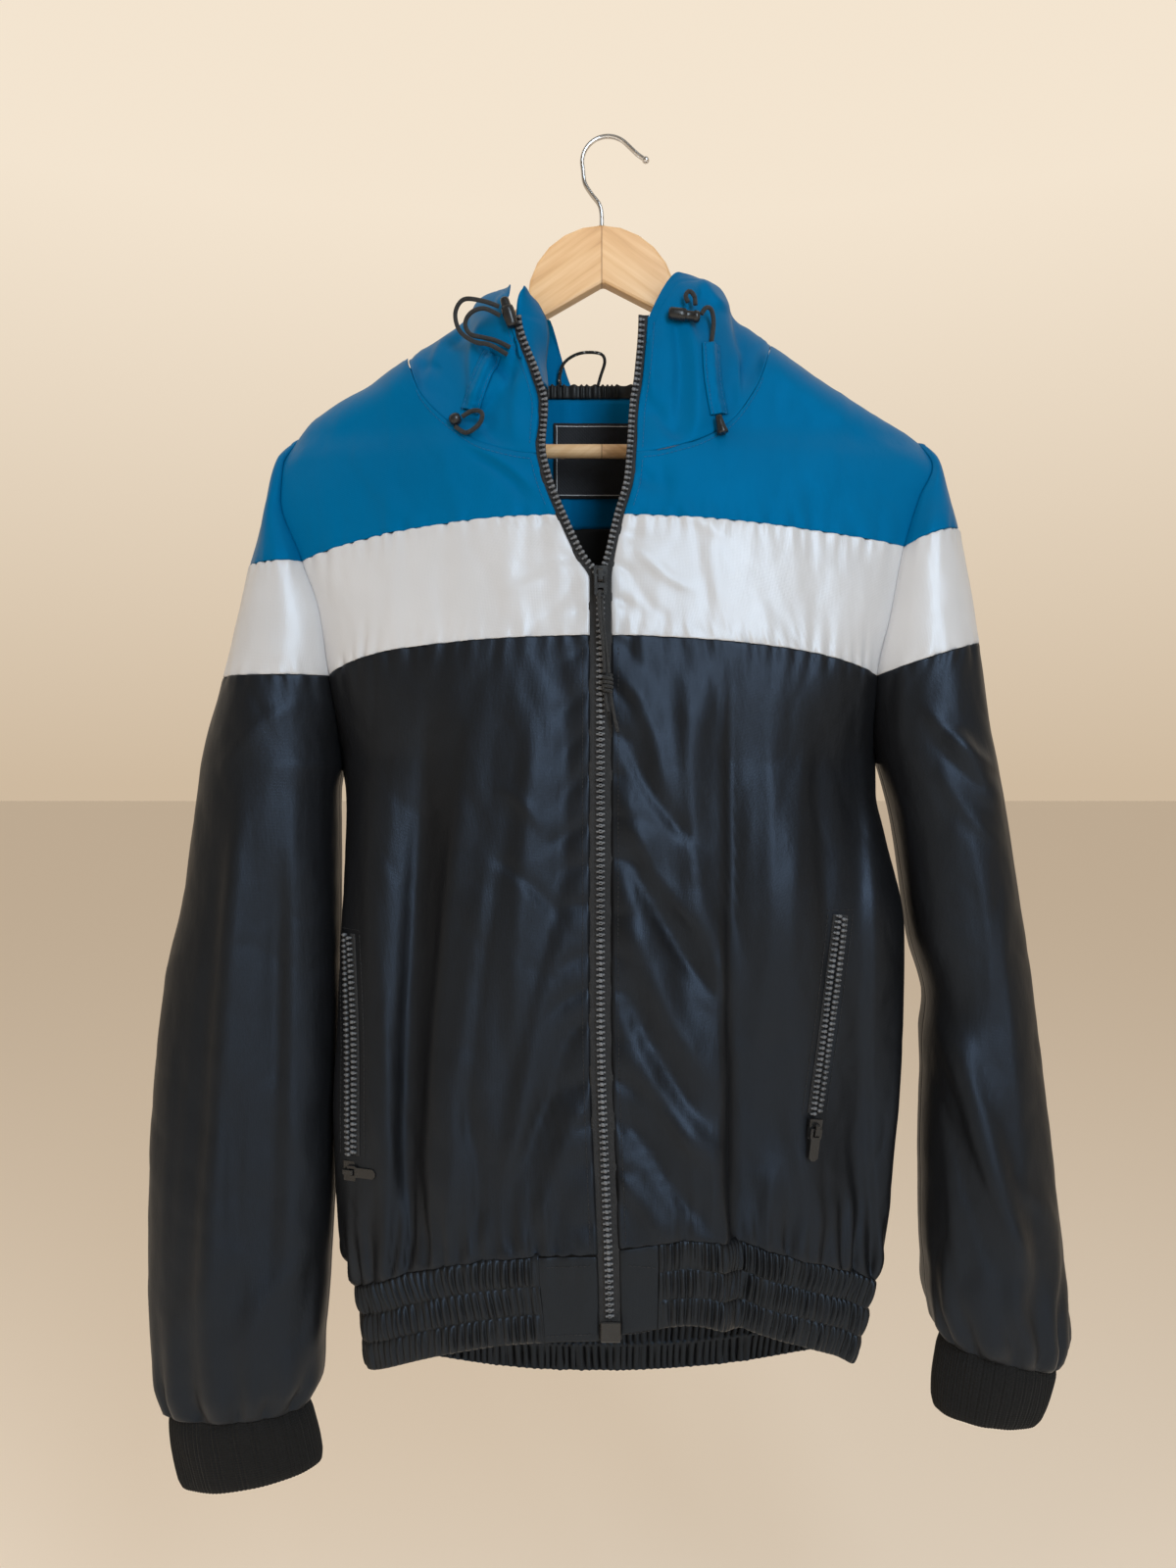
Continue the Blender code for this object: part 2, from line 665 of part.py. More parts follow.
def make_shell():
    """Yokes, bands, lower body, sleeves and hood, with shared directions at their seams."""
    pieces = cloth_pieces() + sleeve_pieces() + hood_pieces()
    normals = {}
    for _, _, grid in pieces:
        add_normals(normals, grid)
    for name, colour, grid in pieces:
        foot = HOOD_FOOT if name.startswith("hood") else SEAM / 2
        wall(name, colour, grid, normals, pole=name.startswith("sleeve_cap"), foot=foot)


def own_wall(name, colour, grid, **options):
    normals = {}
    add_normals(normals, grid)
    wall(name, colour, grid, normals, **options)


def block_share(side, z):
    """Share of the front at which the plain hem block ends."""
    low, high = 0.0, 1.0
    target = abs(zip_x(side, z)) + TAPE_WIDTH + HEM_BLOCK[side]
    for _ in range(40):
        middle = (low + high) / 2
        if abs(torso("front", side, middle, z).x) < target:
            low = middle
        else:
            high = middle
    return low


def make_hem():
    """Plain blocks beside the zip, and the elastic band round the rest with raised ridges."""
    drop = 1.4  # extra room under the fuller cloth above
    middle_z = (HEM_TOP["front"] + HEM_BOTTOM["front"]) / 2
    ends = {side: block_share(side, middle_z) for side in SIDES}

    def point(face, side, share, t):
        top = hem_line(HEM_TOP, face, side, share) - drop
        bottom = hem_line(HEM_BOTTOM, face, side, share)
        return torso(face, side, share, mix(top, bottom, t))

    for side, name in SIDES.items():
        shares = [ends[side] * i / 4 for i in range(5)]
        shares = shares[::-1] if side == LEFT else shares
        grid = [[point("front", side, share, t) for share in shares] for t in (0.0, 1.0)]
        own_wall(f"hem_block_{name}", "charcoal", grid, thickness=RIB_CLOTH)
    path = []
    for face, side, start, end in (
        ("front", RIGHT, ends[RIGHT], 1.0),
        ("back", RIGHT, 1.0, 0.0),
        ("back", LEFT, 0.0, 1.0),
        ("front", LEFT, 1.0, ends[LEFT]),
    ):
        for i in range(60):
            path.append((face, side, mix(start, end, i / 60)))
    path.append(("front", LEFT, ends[LEFT]))
    lengths = [0.0]
    for a, b in zip(path, path[1:]):
        lengths.append(lengths[-1] + (point(*b, 0.5) - point(*a, 0.5)).length)
    grid = [[], []]
    steps = 2 * HEM_RIDGES
    for step in range(steps + 1):
        target = lengths[-1] * step / steps
        i = max(k for k in range(len(path) - 1) if lengths[k] <= target + 1e-9)
        t = (target - lengths[i]) / (lengths[i + 1] - lengths[i])
        for line, down in zip(grid, (0.0, 1.0)):
            line.append(point(*path[i], down).lerp(point(*path[i + 1], down), t))
    own_wall(
        "hem_elastic",
        "charcoal",
        grid,
        thickness=RIB_CLOTH,
        rise=lambda i, j: RIDGE_RISE * (j % 2),
    )


def make_cuffs():
    for side, name in SIDES.items():
        grid = []
        for i in range(CUFF_ROWS + 1):
            t = i / CUFF_ROWS
            inner = Vector(CUFF[side]["top"][0]).lerp(Vector(CUFF[side]["bottom"][0]), t)
            outer = Vector(CUFF[side]["top"][1]).lerp(Vector(CUFF[side]["bottom"][1]), t)
            depth = mix(CUFF_DEPTH["top"], CUFF_DEPTH["bottom"], t)
            line = []
            for step in range(2 * CUFF_RIBS + 1):
                turn = 2 * math.pi * step / (2 * CUFF_RIBS)
                out = (1 + math.cos(turn)) / 2
                place = inner.lerp(outer, out)
                y = CUFF_Y + depth * math.sin(turn) * side
                line.append(Vector((side * place.x, y, place.y)))
            grid.append(line)
        own_wall(
            f"cuff_{name}",
            "charcoal",
            grid,
            thickness=RIB_CLOTH,
            rise=lambda i, j: RIB_RISE * (j % 2),
            ring=True,
        )


# ---------------------------------------------------------------- laid pieces


def surface_of(*names):
    """A tree of the faces of some pieces, in millimetres."""
    points, faces = [], []
    for name in names:
        mesh = bpy.data.objects[name].data
        first = len(points)
        points += [vertex.co / MM for vertex in mesh.vertices]
        faces += [[first + corner for corner in face.vertices] for face in mesh.polygons]
    return BVHTree.FromPolygons(points, faces)


def cast(tree, x, z):
    """The foremost point of a surface at (x, z), or beside it in a seam, and its direction."""
    hit, normal, _, _ = tree.ray_cast(Vector((x, -200, z)), Vector((0, 1, 0)))
    if hit is None:
        hit, normal, _, _ = tree.find_nearest(Vector((x, -60, z)))
    return hit, normal if normal.y < 0 else -normal


def laid_strip(name, colour, tree, path, half_width, across, rises, thickness=1.0, rows=8):
    """A strip laid on a surface's front along a path of (x, z) points, top to bottom. across
    lists places over its width from -1 to 1, and rises their extra height."""
    keys = [Vector((x, 0, z)) for x, z in path]
    grid = []
    for i in range(rows + 1):
        middle = profile_point(keys, i / rows)
        before = profile_point(keys, max(0, i / rows - 0.01))
        ahead = profile_point(keys, min(1, i / rows + 0.01)) - before
        sideways = ahead.cross(Vector((0, 1, 0))).normalized() * half_width
        line = []
        for place in across:
            spot = middle + sideways * place
            hit, normal = cast(tree, spot.x, spot.z)
            line.append(hit + normal * (ON_TOP + thickness / 2))
        grid.append(line)
    own_wall(name, colour, grid, thickness=thickness, rise=lambda i, j: rises[j])


def make_zip_tapes():
    """Two tapes with a raised bead of teeth, from the hem to the top of the collar."""
    top, bottom = ZIP_TOP - 0.5, -812.0
    rows = 26
    places = (0.3, 3.0, 3.3, TAPE_WIDTH - 1.0)
    rises = (1.6, 1.6, 0.0, 0.0)
    for side, name in SIDES.items():
        grid = []
        for i in range(rows + 1):
            z = mix(top, bottom, i / rows)
            x = zip_x(side, z)
            y = TORSO("front_middle", z)
            line = [Vector((x + side * place, y, z)) for place in places]
            grid.append(line[::-1] if side == LEFT else line)
        lifts = rises[::-1] if side == LEFT else rises
        own_wall(f"zip_tape_{name}", "teeth", grid, rise=lambda i, j, lifts=lifts: lifts[j])


def make_back_inside():
    """Facing, lining, label and neck tape on the inside of the back, where the neck shows them."""

    def sheet(name, colour, half_left, half_right, top, bottom, depth, thickness, rows, columns):
        grid = []
        for i in range(rows + 1):
            z = mix(top, bottom, i / rows)
            line = []
            for j in range(columns + 1):
                x = mix(half_right, -half_left, j / columns)
                side = RIGHT if x > BACK_MIDDLE else LEFT
                width = abs(TORSO(SIDES[side], z) * side - BACK_MIDDLE)
                share = abs(x - BACK_MIDDLE) / width
                place = torso("back", side, share, z)
                line.append(Vector((x, place.y - depth, z)))
            grid.append(line)
        own_wall(name, colour, grid, thickness=thickness)

    sheet("back_facing", "blue", 84, 74, -184, -270, 1.9, 1.0, 4, 8)
    sheet("back_lining", "lining", 84, 74, -270.5, -400, 1.9, 1.0, 4, 8)
    sheet("neck_label", "label", 39, 26, -194, -248, 3.3, 1.0, 2, 4)
    sheet("neck_tape", "lining", 62, 52, -167.5, -178.5, 2.2, 2.0, 1, 12)


# ---------------------------------------------------------------- hanger


def outline_solid(name, colour, points, thickness, bevel):
    """A flat outline in the XZ plane with its thickness along Y."""
    shape = bmesh.new()
    front = [shape.verts.new((x, -thickness / 2, z)) for x, z in points]
    face = shape.faces.new(front)
    made = bmesh.ops.extrude_face_region(shape, geom=[face])
    moved = [item for item in made["geom"] if isinstance(item, bmesh.types.BMVert)]
    bmesh.ops.translate(shape, vec=(0, thickness, 0), verts=moved)
    bmesh.ops.recalc_face_normals(shape, faces=shape.faces)
    obj = add_mesh(name, shape, colour, smooth=False)
    edge = obj.modifiers.new("edge", "BEVEL")
    edge.width = bevel * MM
    edge.segments = 2
    edge.limit_method = "ANGLE"
    edge.angle_limit = math.radians(50)
    return obj


HANGER_THICKNESS = 12.0
HANGER_EDGE = 2.0
ARCH = {"x": -4.5, "z": -115.0, "radius": 52.0}
UNDER_APEX = (-3.5, -103.5)
WOOD_TOP = {
    LEFT: ((95, -147.0), (139, -166.0), (204, -204.5), (210, -211.0)),
    RIGHT: ((88, -147.0), (113, -156.4), (139, -171.0), (204, -210.7), (210, -216.0)),
}
WOOD_UNDER = ((150, -194.0), (60, -136.0))
WOOD_TIP = ((211, -224.0), (207, -229.0), (190, -229.0), (186, -225.0), (186, -208.0))
BAR = {"z": -220.3, "radius": 5.0, "half": 185.6}


def arc_points(arc, start, end, steps):
    """(x, z) points along an arc given by its centre and radius, between two angles in degrees."""
    points = []
    for step in range(steps + 1):
        turn = math.radians(mix(start, end, step / steps))
        x = arc["x"] + arc["radius"] * math.cos(turn)
        points.append((x, arc["z"] + arc["radius"] * math.sin(turn)))
    return tuple(points)


def make_hanger():
    """Flat wooden body with its arch and two arms, the trouser bar between the arm tips."""
    right = WOOD_TOP[RIGHT] + WOOD_TIP + WOOD_UNDER
    left = tuple((-x, z) for x, z in WOOD_TOP[LEFT] + WOOD_TIP + WOOD_UNDER)[::-1]
    outline = arc_points(ARCH, 180, 0, 12) + right + (UNDER_APEX,) + left
    outline_solid("hanger_wood", "wood", outline, HANGER_THICKNESS, HANGER_EDGE)
    shape = bmesh.new()
    turned = Matrix.Rotation(math.pi / 2, 4, "Y")
    bmesh.ops.create_cone(
        shape,
        cap_ends=True,
        segments=16,
        radius1=BAR["radius"],
        radius2=BAR["radius"],
        depth=2 * BAR["half"],
        matrix=Matrix.Translation((0, 0, BAR["z"])) @ turned,
    )
    add_mesh("hanger_bar", shape, "wood")


def tube(name, colour, points, diameter, sides=2):
    """A round bar or cord through points in millimetres, read from a smooth curve."""
    curve = bpy.data.curves.new(name, "CURVE")
    curve.dimensions = "3D"
    curve.bevel_depth = diameter / 2 * MM
    curve.bevel_resolution = sides
    curve.use_fill_caps = True
    spline = curve.splines.new("POLY")
    spline.points.add(len(points) - 1)
    for spot, point in zip(spline.points, points):
        spot.co = (*(Vector(point) * MM), 1)
    return add_object(name, curve, colour)


def smooth_path(keys, spacing):
    """Evenly spaced points on a smooth curve through the route's own points."""
    keys = [Vector(key) for key in keys]
    fine = [profile_point(keys, i / (40 * len(keys))) for i in range(40 * len(keys) + 1)]
    lengths = [0.0]
    for a, b in zip(fine, fine[1:]):
        lengths.append(lengths[-1] + (b - a).length)
    count = max(3, round(lengths[-1] / spacing))
    points, k = [], 0
    for i in range(count + 1):
        target = lengths[-1] * i / count
        while k < len(lengths) - 2 and lengths[k + 1] < target:
            k += 1
        t = (target - lengths[k]) / max(lengths[k + 1] - lengths[k], 1e-9)
        points.append(fine[k].lerp(fine[k + 1], t))
    return points


HOOK_WIRE = 3.4
HOOK_BEND = {"x": 0.0, "z": -16.6, "radius": 16.6 + HOOK_WIRE / 2}  # inner top at z 0
HOOK_STEM = ((-4.5, -62.7), (-4.6, -53.0), (-6.4, -46.0), (-11.7, -39.0), (-16.4, -31.0))
HOOK_TAIL = ((20.5, -10.8), (26.5, -15.0))
HOOK_BALL = 5.2


def make_hook():
    """Bent wire hook: stem out of the wood, an open bend, and a ball on its free end."""
    route = HOOK_STEM + arc_points(HOOK_BEND, 194, 47, 11) + HOOK_TAIL
    points = smooth_path([(x, 0, z) for x, z in route], 5.0)
    wire = tube("hook_wire", "steel", points, HOOK_WIRE)
    graph = bpy.context.evaluated_depsgraph_get()
    mesh = bpy.data.meshes.new_from_object(wire.evaluated_get(graph))
    hook = bpy.data.objects.new("hanger_hook", mesh)
    collection().objects.link(hook)
    bpy.data.objects.remove(wire)
    shape = bmesh.new()
    shape.from_mesh(mesh)
    bmesh.ops.remove_doubles(shape, verts=shape.verts, dist=1e-6)
    shape.to_mesh(mesh)
    shape.free()
    ball = bmesh.new()
    bmesh.ops.create_uvsphere(
        ball, u_segments=10, v_segments=6, radius=HOOK_BALL / 2, matrix=Matrix.Translation(points[-1])
    )
    cutter = add_mesh("hook_ball", ball, "steel")
    cutter.hide_render = True
    cutter.display_type = "WIRE"
    join = hook.modifiers.new("ball", "BOOLEAN")
    join.operation = "UNION"
    join.object = cutter


# ---------------------------------------------------------------- zips and trims


def flat_outline(name, colour, loops, thickness):
    """A flat plate from closed loops of (x, y) points; loops after the first are holes."""
    curve = bpy.data.curves.new(name, "CURVE")
    curve.dimensions = "2D"
    curve.fill_mode = "BOTH"
    curve.extrude = thickness / 2 * MM
    for loop in loops:
        spline = curve.splines.new("POLY")
        spline.points.add(len(loop) - 1)
        for spot, (x, y) in zip(spline.points, loop):
            spot.co = (x * MM, y * MM, 0, 1)
        spline.use_cyclic_u = True
    return add_object(name, curve, colour)


def frame_at(place, along, out):
    """A frame whose Y runs along a zip and whose Z points out of the cloth."""
    out = out.normalized()
    along = (along - out * along.dot(out)).normalized()
    across = along.cross(out)
    turn = Matrix((across, along, out)).transposed().to_4x4()
    return Matrix.Translation(place * MM) @ turn


def rectangle(x0, y0, x1, y1):
    return [(x0, y0), (x1, y0), (x1, y1), (x0, y1)]


SLIDER = {"half_width": 4.5, "half_length": 6.5, "height": 3.0, "arch": 6.6, "arch_width": 3.0}
PIVOT_HEIGHT = 4.25  # of the pull's end bar over the slider's underside
PULL_THICKNESS = 1.4
SLIDER_SEAT = 1.6  # room for a pocket slider's underside over the curved cloth


def make_slider(name, frame, turned=False):
    """Slider body with the arch that holds its pull; turned sets the arch across the zip."""
    body = bmesh.new()
    bmesh.ops.create_cube(body, size=1.0)
    size = (2 * SLIDER["half_width"], 2 * SLIDER["half_length"], SLIDER["height"])
    bmesh.ops.scale(body, vec=size, verts=body.verts)
    bmesh.ops.translate(body, vec=(0, 0, SLIDER["height"] / 2), verts=body.verts)
    slider = add_mesh(name, body, "plastic", smooth=False)
    slider.matrix_world = frame
    low, high = SLIDER["height"] - 1.0, SLIDER["arch"]
    loop = [(-4.0, low), (-4.0, high - 1.0), (-3.0, high), (3.0, high), (4.0, high - 1.0)]
    loop += [(4.0, low), (2.2, low), (2.2, high - 1.2), (-2.2, high - 1.2), (-2.2, low)]
    shape = bmesh.new()
    half = SLIDER["arch_width"] / 2
    face = shape.faces.new([shape.verts.new((-half, y, z)) for y, z in loop])
    made = bmesh.ops.extrude_face_region(shape, geom=[face])
    moved = [item for item in made["geom"] if isinstance(item, bmesh.types.BMVert)]
    bmesh.ops.translate(shape, vec=(2 * half, 0, 0), verts=moved)
    bmesh.ops.recalc_face_normals(shape, faces=shape.faces)
    arch = add_mesh(name + "_arch_tool", shape, "plastic", smooth=False)
    arch.matrix_world = frame @ Matrix.Rotation(math.pi / 2 if turned else 0.0, 4, "Z")
    arch.hide_render = True
    arch.display_type = "WIRE"
    join = slider.modifiers.new("arch", "BOOLEAN")
    join.operation = "UNION"
    join.object = arch


def make_pull(name, frame, length, half_width, cord_hole=False):
    """A pull whose end bar lies under the arch, its origin on the bar's axis. It points along
    the frame's Y, or for a frame turned round Z, wherever that Y then points."""
    rim = [(-4.0, -0.7), (4.0, -0.7), (4.0, 5.0), (half_width, 7.0)]
    rim += [(half_width, length - 2.0), (half_width - 2.0, length)]
    rim += [(2.0 - half_width, length), (-half_width, length - 2.0), (-half_width, 7.0), (-4.0, 5.0)]
    loops = [rim, rectangle(-2.2, 0.7, 2.2, 5.0)]
    if cord_hole:
        loops.append(rectangle(-2.0, length - 5.8, 2.0, length - 1.2))
    pull = flat_outline(name, "plastic", loops, PULL_THICKNESS)
    pull.matrix_world = frame @ Matrix.Translation((0, 0, PIVOT_HEIGHT * MM))
    return pull


POCKET = {
    LEFT: {"path": ((-175, -555), (-171, -621), (-170, -700)), "slider": (-170.5, -711.0)},
    RIGHT: {"path": ((153, -541), (145, -612), (137, -674)), "slider": (135.5, -683.0)},
}


def make_pocket_zips():
    """A narrow zip on each lower front with its slider and pull at the bottom."""
    for side, name in SIDES.items():
        tree = surface_of(f"front_lower_{name}")
        pocket = POCKET[side]
        laid_strip(
            f"pocket_zip_{name}",
            "teeth",
            tree,
            pocket["path"],
            5.5,
            (-1, -0.6, -0.5, -0.1, 0.1, 0.5, 0.6, 1),
            (0, 0, 1.2, 1.2, 1.2, 1.2, 0, 0),
        )
        x, z = pocket["slider"]
        hit, normal = cast(tree, x, z)
        out = (normal + Vector((0, -0.6, 0))).normalized()
        down = Vector((pocket["path"][-1][0] - pocket["path"][1][0], 0, -70)).normalized()
        frame = frame_at(hit + out * SLIDER_SEAT, down, out)
        turned = side == LEFT
        make_slider(f"pocket_slider_{name}", frame, turned)
        turn = Matrix.Rotation(math.radians(90 if turned else 0), 4, "Z")
        make_pull(f"pocket_pull_{name}", frame @ turn, 21.0, 3.2)


MAIN_SLIDER_Z = -320.0
KNOT = {"at": (-1.5, -77.5, -390.0), "width": 7.6, "height": 12.6}
CORD = 2.1
HOOD_CORD = 3.0


def make_main_zip_end():
    """Slider, bail and cord of the main zip, and the box at its bottom."""
    z = MAIN_SLIDER_Z
    out = Vector((0, -1, 0))
    place = Vector((zip_x(LEFT, -322), TORSO("front_middle", z) - 2.9, z))
    frame = frame_at(place, Vector((0, 0, -1)), out)
    make_slider("zip_slider", frame)
    make_pull("zip_pull", frame, 14.0, 4.0, cord_hole=True)
    box = bmesh.new()
    bmesh.ops.create_cube(box, size=1.0)
    bmesh.ops.scale(box, vec=(12.5, 2.6, 13.0), verts=box.verts)
    middle = Vector((0.5, TORSO("front_middle", -805) - 4.2, -805))
    bmesh.ops.translate(box, vec=middle, verts=box.verts)
    edge = add_mesh("zip_box", box, "plastic", smooth=False).modifiers.new("edge", "BEVEL")
    edge.width = 0.6 * MM


ZIP_CORD_LOOP = (
    (-3.6, -77.5, -383.2),
    (-4.4, -77.6, -366),
    (-6.8, -78.0, -345),
    (-7.2, -77.0, -334.5),
    (-6.1, -73.7, -330.6),
    (-5.2, -71.3, -334.5),
    (-4.4, -73.2, -350),
    (-2.4, -76.0, -368),
    (-0.6, -77.2, -383.2),
)
ZIP_CORD_TAILS = {
    "zip_cord_tail_right": ((0.4, -77.8, -396.1), (2.0, -78.2, -407), (5.0, -78.8, -421)),
    "zip_cord_tail_left": ((-3.0, -77.8, -396.4), (-2.4, -78.4, -402), (-1.2, -79.0, -408)),
}


def make_zip_cord():
    """Cord through the bail, its knot, and the two tails under the knot."""
    tube("zip_cord_loop", "cord", smooth_path(ZIP_CORD_LOOP, 3.6), CORD)
    for name, keys in ZIP_CORD_TAILS.items():
        tube(name, "cord", smooth_path(keys, 5.0), CORD)
    shape = bmesh.new()
    bmesh.ops.create_uvsphere(shape, u_segments=10, v_segments=7, radius=0.5)
    bmesh.ops.scale(shape, vec=(KNOT["width"], KNOT["width"], KNOT["height"]), verts=shape.verts)
    bmesh.ops.translate(shape, vec=KNOT["at"], verts=shape.verts)
    add_mesh("zip_cord_knot", shape, "cord")


# Hood trims: places as (x, z) on the hood, and the cords' routes with their own depth.
TUNNELS = {
    LEFT: ((-78, -166), (-86, -186), (-93, -206)),
    RIGHT: ((68, -160), (69, -184), (73, -209)),
}
LOCKS = {
    # place, width, height, tilt in degrees, room to the hood
    "cord_lock_left": ((-67, -141), 9.5, 21.0, -18, 8.0),
    "cord_lock_right": ((50, -142), 22.0, 15.0, 0, 4.7),
    "cord_stop_left": ((-102, -213), 8.0, 8.0, 0, 4.5),
    "cord_stop_right": ((73.5, -217), 8.0, 13.0, 0, 4.7),
}
HOOD_CORDS = {
    "hood_cord_left_outer": (
        (-73.2, -49.5, -137.5), (-84, -50, -134), (-97, -46, -131.5), (-103, -42, -139),
        (-100, -42, -151), (-90, -46, -159.5), (-79, -52.4, -164), (-68, -47.3, -168.5),
    ),
    "hood_cord_left_inner": (
        (-72.4, -49.5, -143.5), (-83, -50, -139), (-92, -46, -140.2), (-96.3, -43, -146.2),
        (-93, -44.5, -153.8), (-84, -47.5, -157.3), (-75, -49.5, -160.3), (-66, -47.2, -163.8),
    ),
    "hood_cord_left_low": (
        (-97.5, -52.3, -211.5), (-90, -54, -208), (-84, -56, -210), (-85.5, -56, -217),
        (-94, -56, -223), (-101.8, -52.4, -218.1),
    ),
    "hood_cord_right_low": (
        (61.4, -46.5, -141.5), (64.5, -46, -137), (68.3, -44, -137.5), (70, -42.5, -146),
        (68.5, -42.4, -159.2),
    ),
    "hood_cord_right_high": (
        (52.5, -46.5, -133.5), (51, -46.3, -129), (53.5, -46, -125.8), (56.8, -46.3, -129.5),
        (57.4, -46.5, -135.2),
    ),
}


def make_hood_trims():
    """Cord tunnels, locks and stops on the hood, and the free loops of its cord."""
    for side, name in SIDES.items():
        tree = surface_of(f"hood_{name}", f"front_yoke_{name}")
        laid_strip(f"cord_tunnel_{name}", "blue", tree, TUNNELS[side], 6.0, (-1, 0, 1), (0, 1.6, 0))
    for name, ((x, z), width, height, tilt, room) in LOCKS.items():
        side = "left" if x < 0 else "right"
        hit, _ = cast(surface_of(f"hood_{side}", f"front_yoke_{side}"), x, z)
        shape = bmesh.new()
        bmesh.ops.create_uvsphere(shape, u_segments=10, v_segments=6, radius=0.5)
        bmesh.ops.scale(shape, vec=(width, 8.0, height), verts=shape.verts)
        lock = add_mesh(name, shape, "plastic")
        lock.location = Vector((x, hit.y - room, z)) * MM
        lock.rotation_euler = (0, math.radians(tilt), 0)
    for name, keys in HOOD_CORDS.items():
        tube(name, "cord", smooth_path(keys, 6.0), HOOD_CORD)


HANGING_LOOP = (
    (-34, 21.5, -167.2), (-34.5, 22, -160), (-31, 22, -150), (-20, 22, -143.5),
    (-6, 22, -143.5), (-2, 22, -149), (-5, 22, -160), (-7, 21.5, -167.2),
)
LOOP_CORD = 2.3


def make_hanging_loop():
    tube("hanging_loop", "cord", smooth_path(HANGING_LOOP, 4.5), LOOP_CORD)


clear_scene()
make_shell()
make_hem()
make_cuffs()
make_zip_tapes()
make_pocket_zips()
make_main_zip_end()
make_zip_cord()
make_hood_trims()
make_back_inside()
make_hanging_loop()
make_hanger()
make_hook()
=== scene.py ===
"""Looks of a windbreaker jacket on a wooden hanger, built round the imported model.

Sizes and tables are in millimetres, as in the model, and MM turns a finished point into metres.
Each cloth piece is a fine grid of points on its solid's own surface, which soft creases, gathers
and seams then move along the surface's normal. Left and right are the viewer's.
"""

import math

import bpy
import numpy as np
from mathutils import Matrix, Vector
from mathutils.bvhtree import BVHTree


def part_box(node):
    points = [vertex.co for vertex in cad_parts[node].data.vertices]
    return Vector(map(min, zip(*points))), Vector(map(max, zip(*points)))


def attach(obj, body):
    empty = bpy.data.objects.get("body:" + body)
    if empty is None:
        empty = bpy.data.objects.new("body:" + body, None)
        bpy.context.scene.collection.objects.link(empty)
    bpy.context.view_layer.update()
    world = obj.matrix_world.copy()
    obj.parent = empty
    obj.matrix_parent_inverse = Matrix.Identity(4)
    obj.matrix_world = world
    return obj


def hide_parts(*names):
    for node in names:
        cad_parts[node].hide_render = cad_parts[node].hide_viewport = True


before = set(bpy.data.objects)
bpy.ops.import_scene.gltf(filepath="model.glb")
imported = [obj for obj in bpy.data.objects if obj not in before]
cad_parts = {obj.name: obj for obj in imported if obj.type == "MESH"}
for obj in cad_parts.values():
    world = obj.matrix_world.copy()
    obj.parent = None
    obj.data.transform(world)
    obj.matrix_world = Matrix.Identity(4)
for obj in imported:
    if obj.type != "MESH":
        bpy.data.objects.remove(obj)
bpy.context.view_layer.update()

MM = 0.001
LEFT, RIGHT = -1, 1
SIDES = {LEFT: "left", RIGHT: "right"}
BODY = "jacket_on_hanger"
TAU = 2 * math.pi

# ---------------------------------------------------------------- camera and light

CAMERA = {"place": (-0.0141, -0.862, -0.4545), "lens": 28.1}
WALL = ((0.0, (0.62, 0.49, 0.35, 1)), (0.42, (0.90, 0.78, 0.63, 1)))
NEAR_SIDE = (("From Min", -0.5), ("From Max", 0.4), ("To Min", 0.24), ("To Max", 1.0))
FLOOR = {"z": -1.3, "half": 60, "colour": (0.9, 0.82, 0.73, 1), "roughness": 0.9}
SQUARE = ((-1, -1), (1, -1), (1, 1), (-1, 1))


def add(name, data):
    obj = bpy.data.objects.new(name, data)
    bpy.context.scene.collection.objects.link(obj)
    return obj


def make_camera():
    data = bpy.data.cameras.new("camera")
    data.lens = CAMERA["lens"]
    data.sensor_width = 36.0
    camera = add("camera", data)
    camera.location = CAMERA["place"]
    camera.rotation_euler = (math.pi / 2, 0, 0)
    bpy.context.scene.camera = camera


def area_light(name, place, target, size, power, colour, glossy=True):
    data = bpy.data.lights.new(name, "AREA")
    data.shape = "RECTANGLE"
    data.size, data.size_y = size
    data.energy = power
    data.color = colour
    light = add(name, data)
    light.location = place
    light.visible_glossy = glossy
    aim = Vector(target) - Vector(place)
    light.rotation_euler = aim.to_track_quat("-Z", "Y").to_euler()


def make_world():
    """A pale wall behind that darkens a little downwards, and a dimmer room on the near side."""
    world = bpy.data.worlds.new("room")
    world.use_nodes = True
    tree = world.node_tree
    source = tree.nodes.new("ShaderNodeTexCoord")
    split = tree.nodes.new("ShaderNodeSeparateXYZ")
    tree.links.new(source.outputs["Generated"], split.inputs[0])
    sky = tree.nodes.new("ShaderNodeValToRGB")
    for element, (at, colour) in zip(sky.color_ramp.elements, WALL):
        element.position, element.color = at, colour
    tree.links.new(split.outputs["Z"], sky.inputs["Fac"])
    depth = tree.nodes.new("ShaderNodeMapRange")
    depth.interpolation_type = "SMOOTHSTEP"
    for name, value in NEAR_SIDE:
        depth.inputs[name].default_value = value
    tree.links.new(split.outputs["Y"], depth.inputs["Value"])
    background = tree.nodes["Background"]
    tree.links.new(sky.outputs["Color"], background.inputs["Color"])
    tree.links.new(depth.outputs["Result"], background.inputs["Strength"])
    bpy.context.scene.world = world


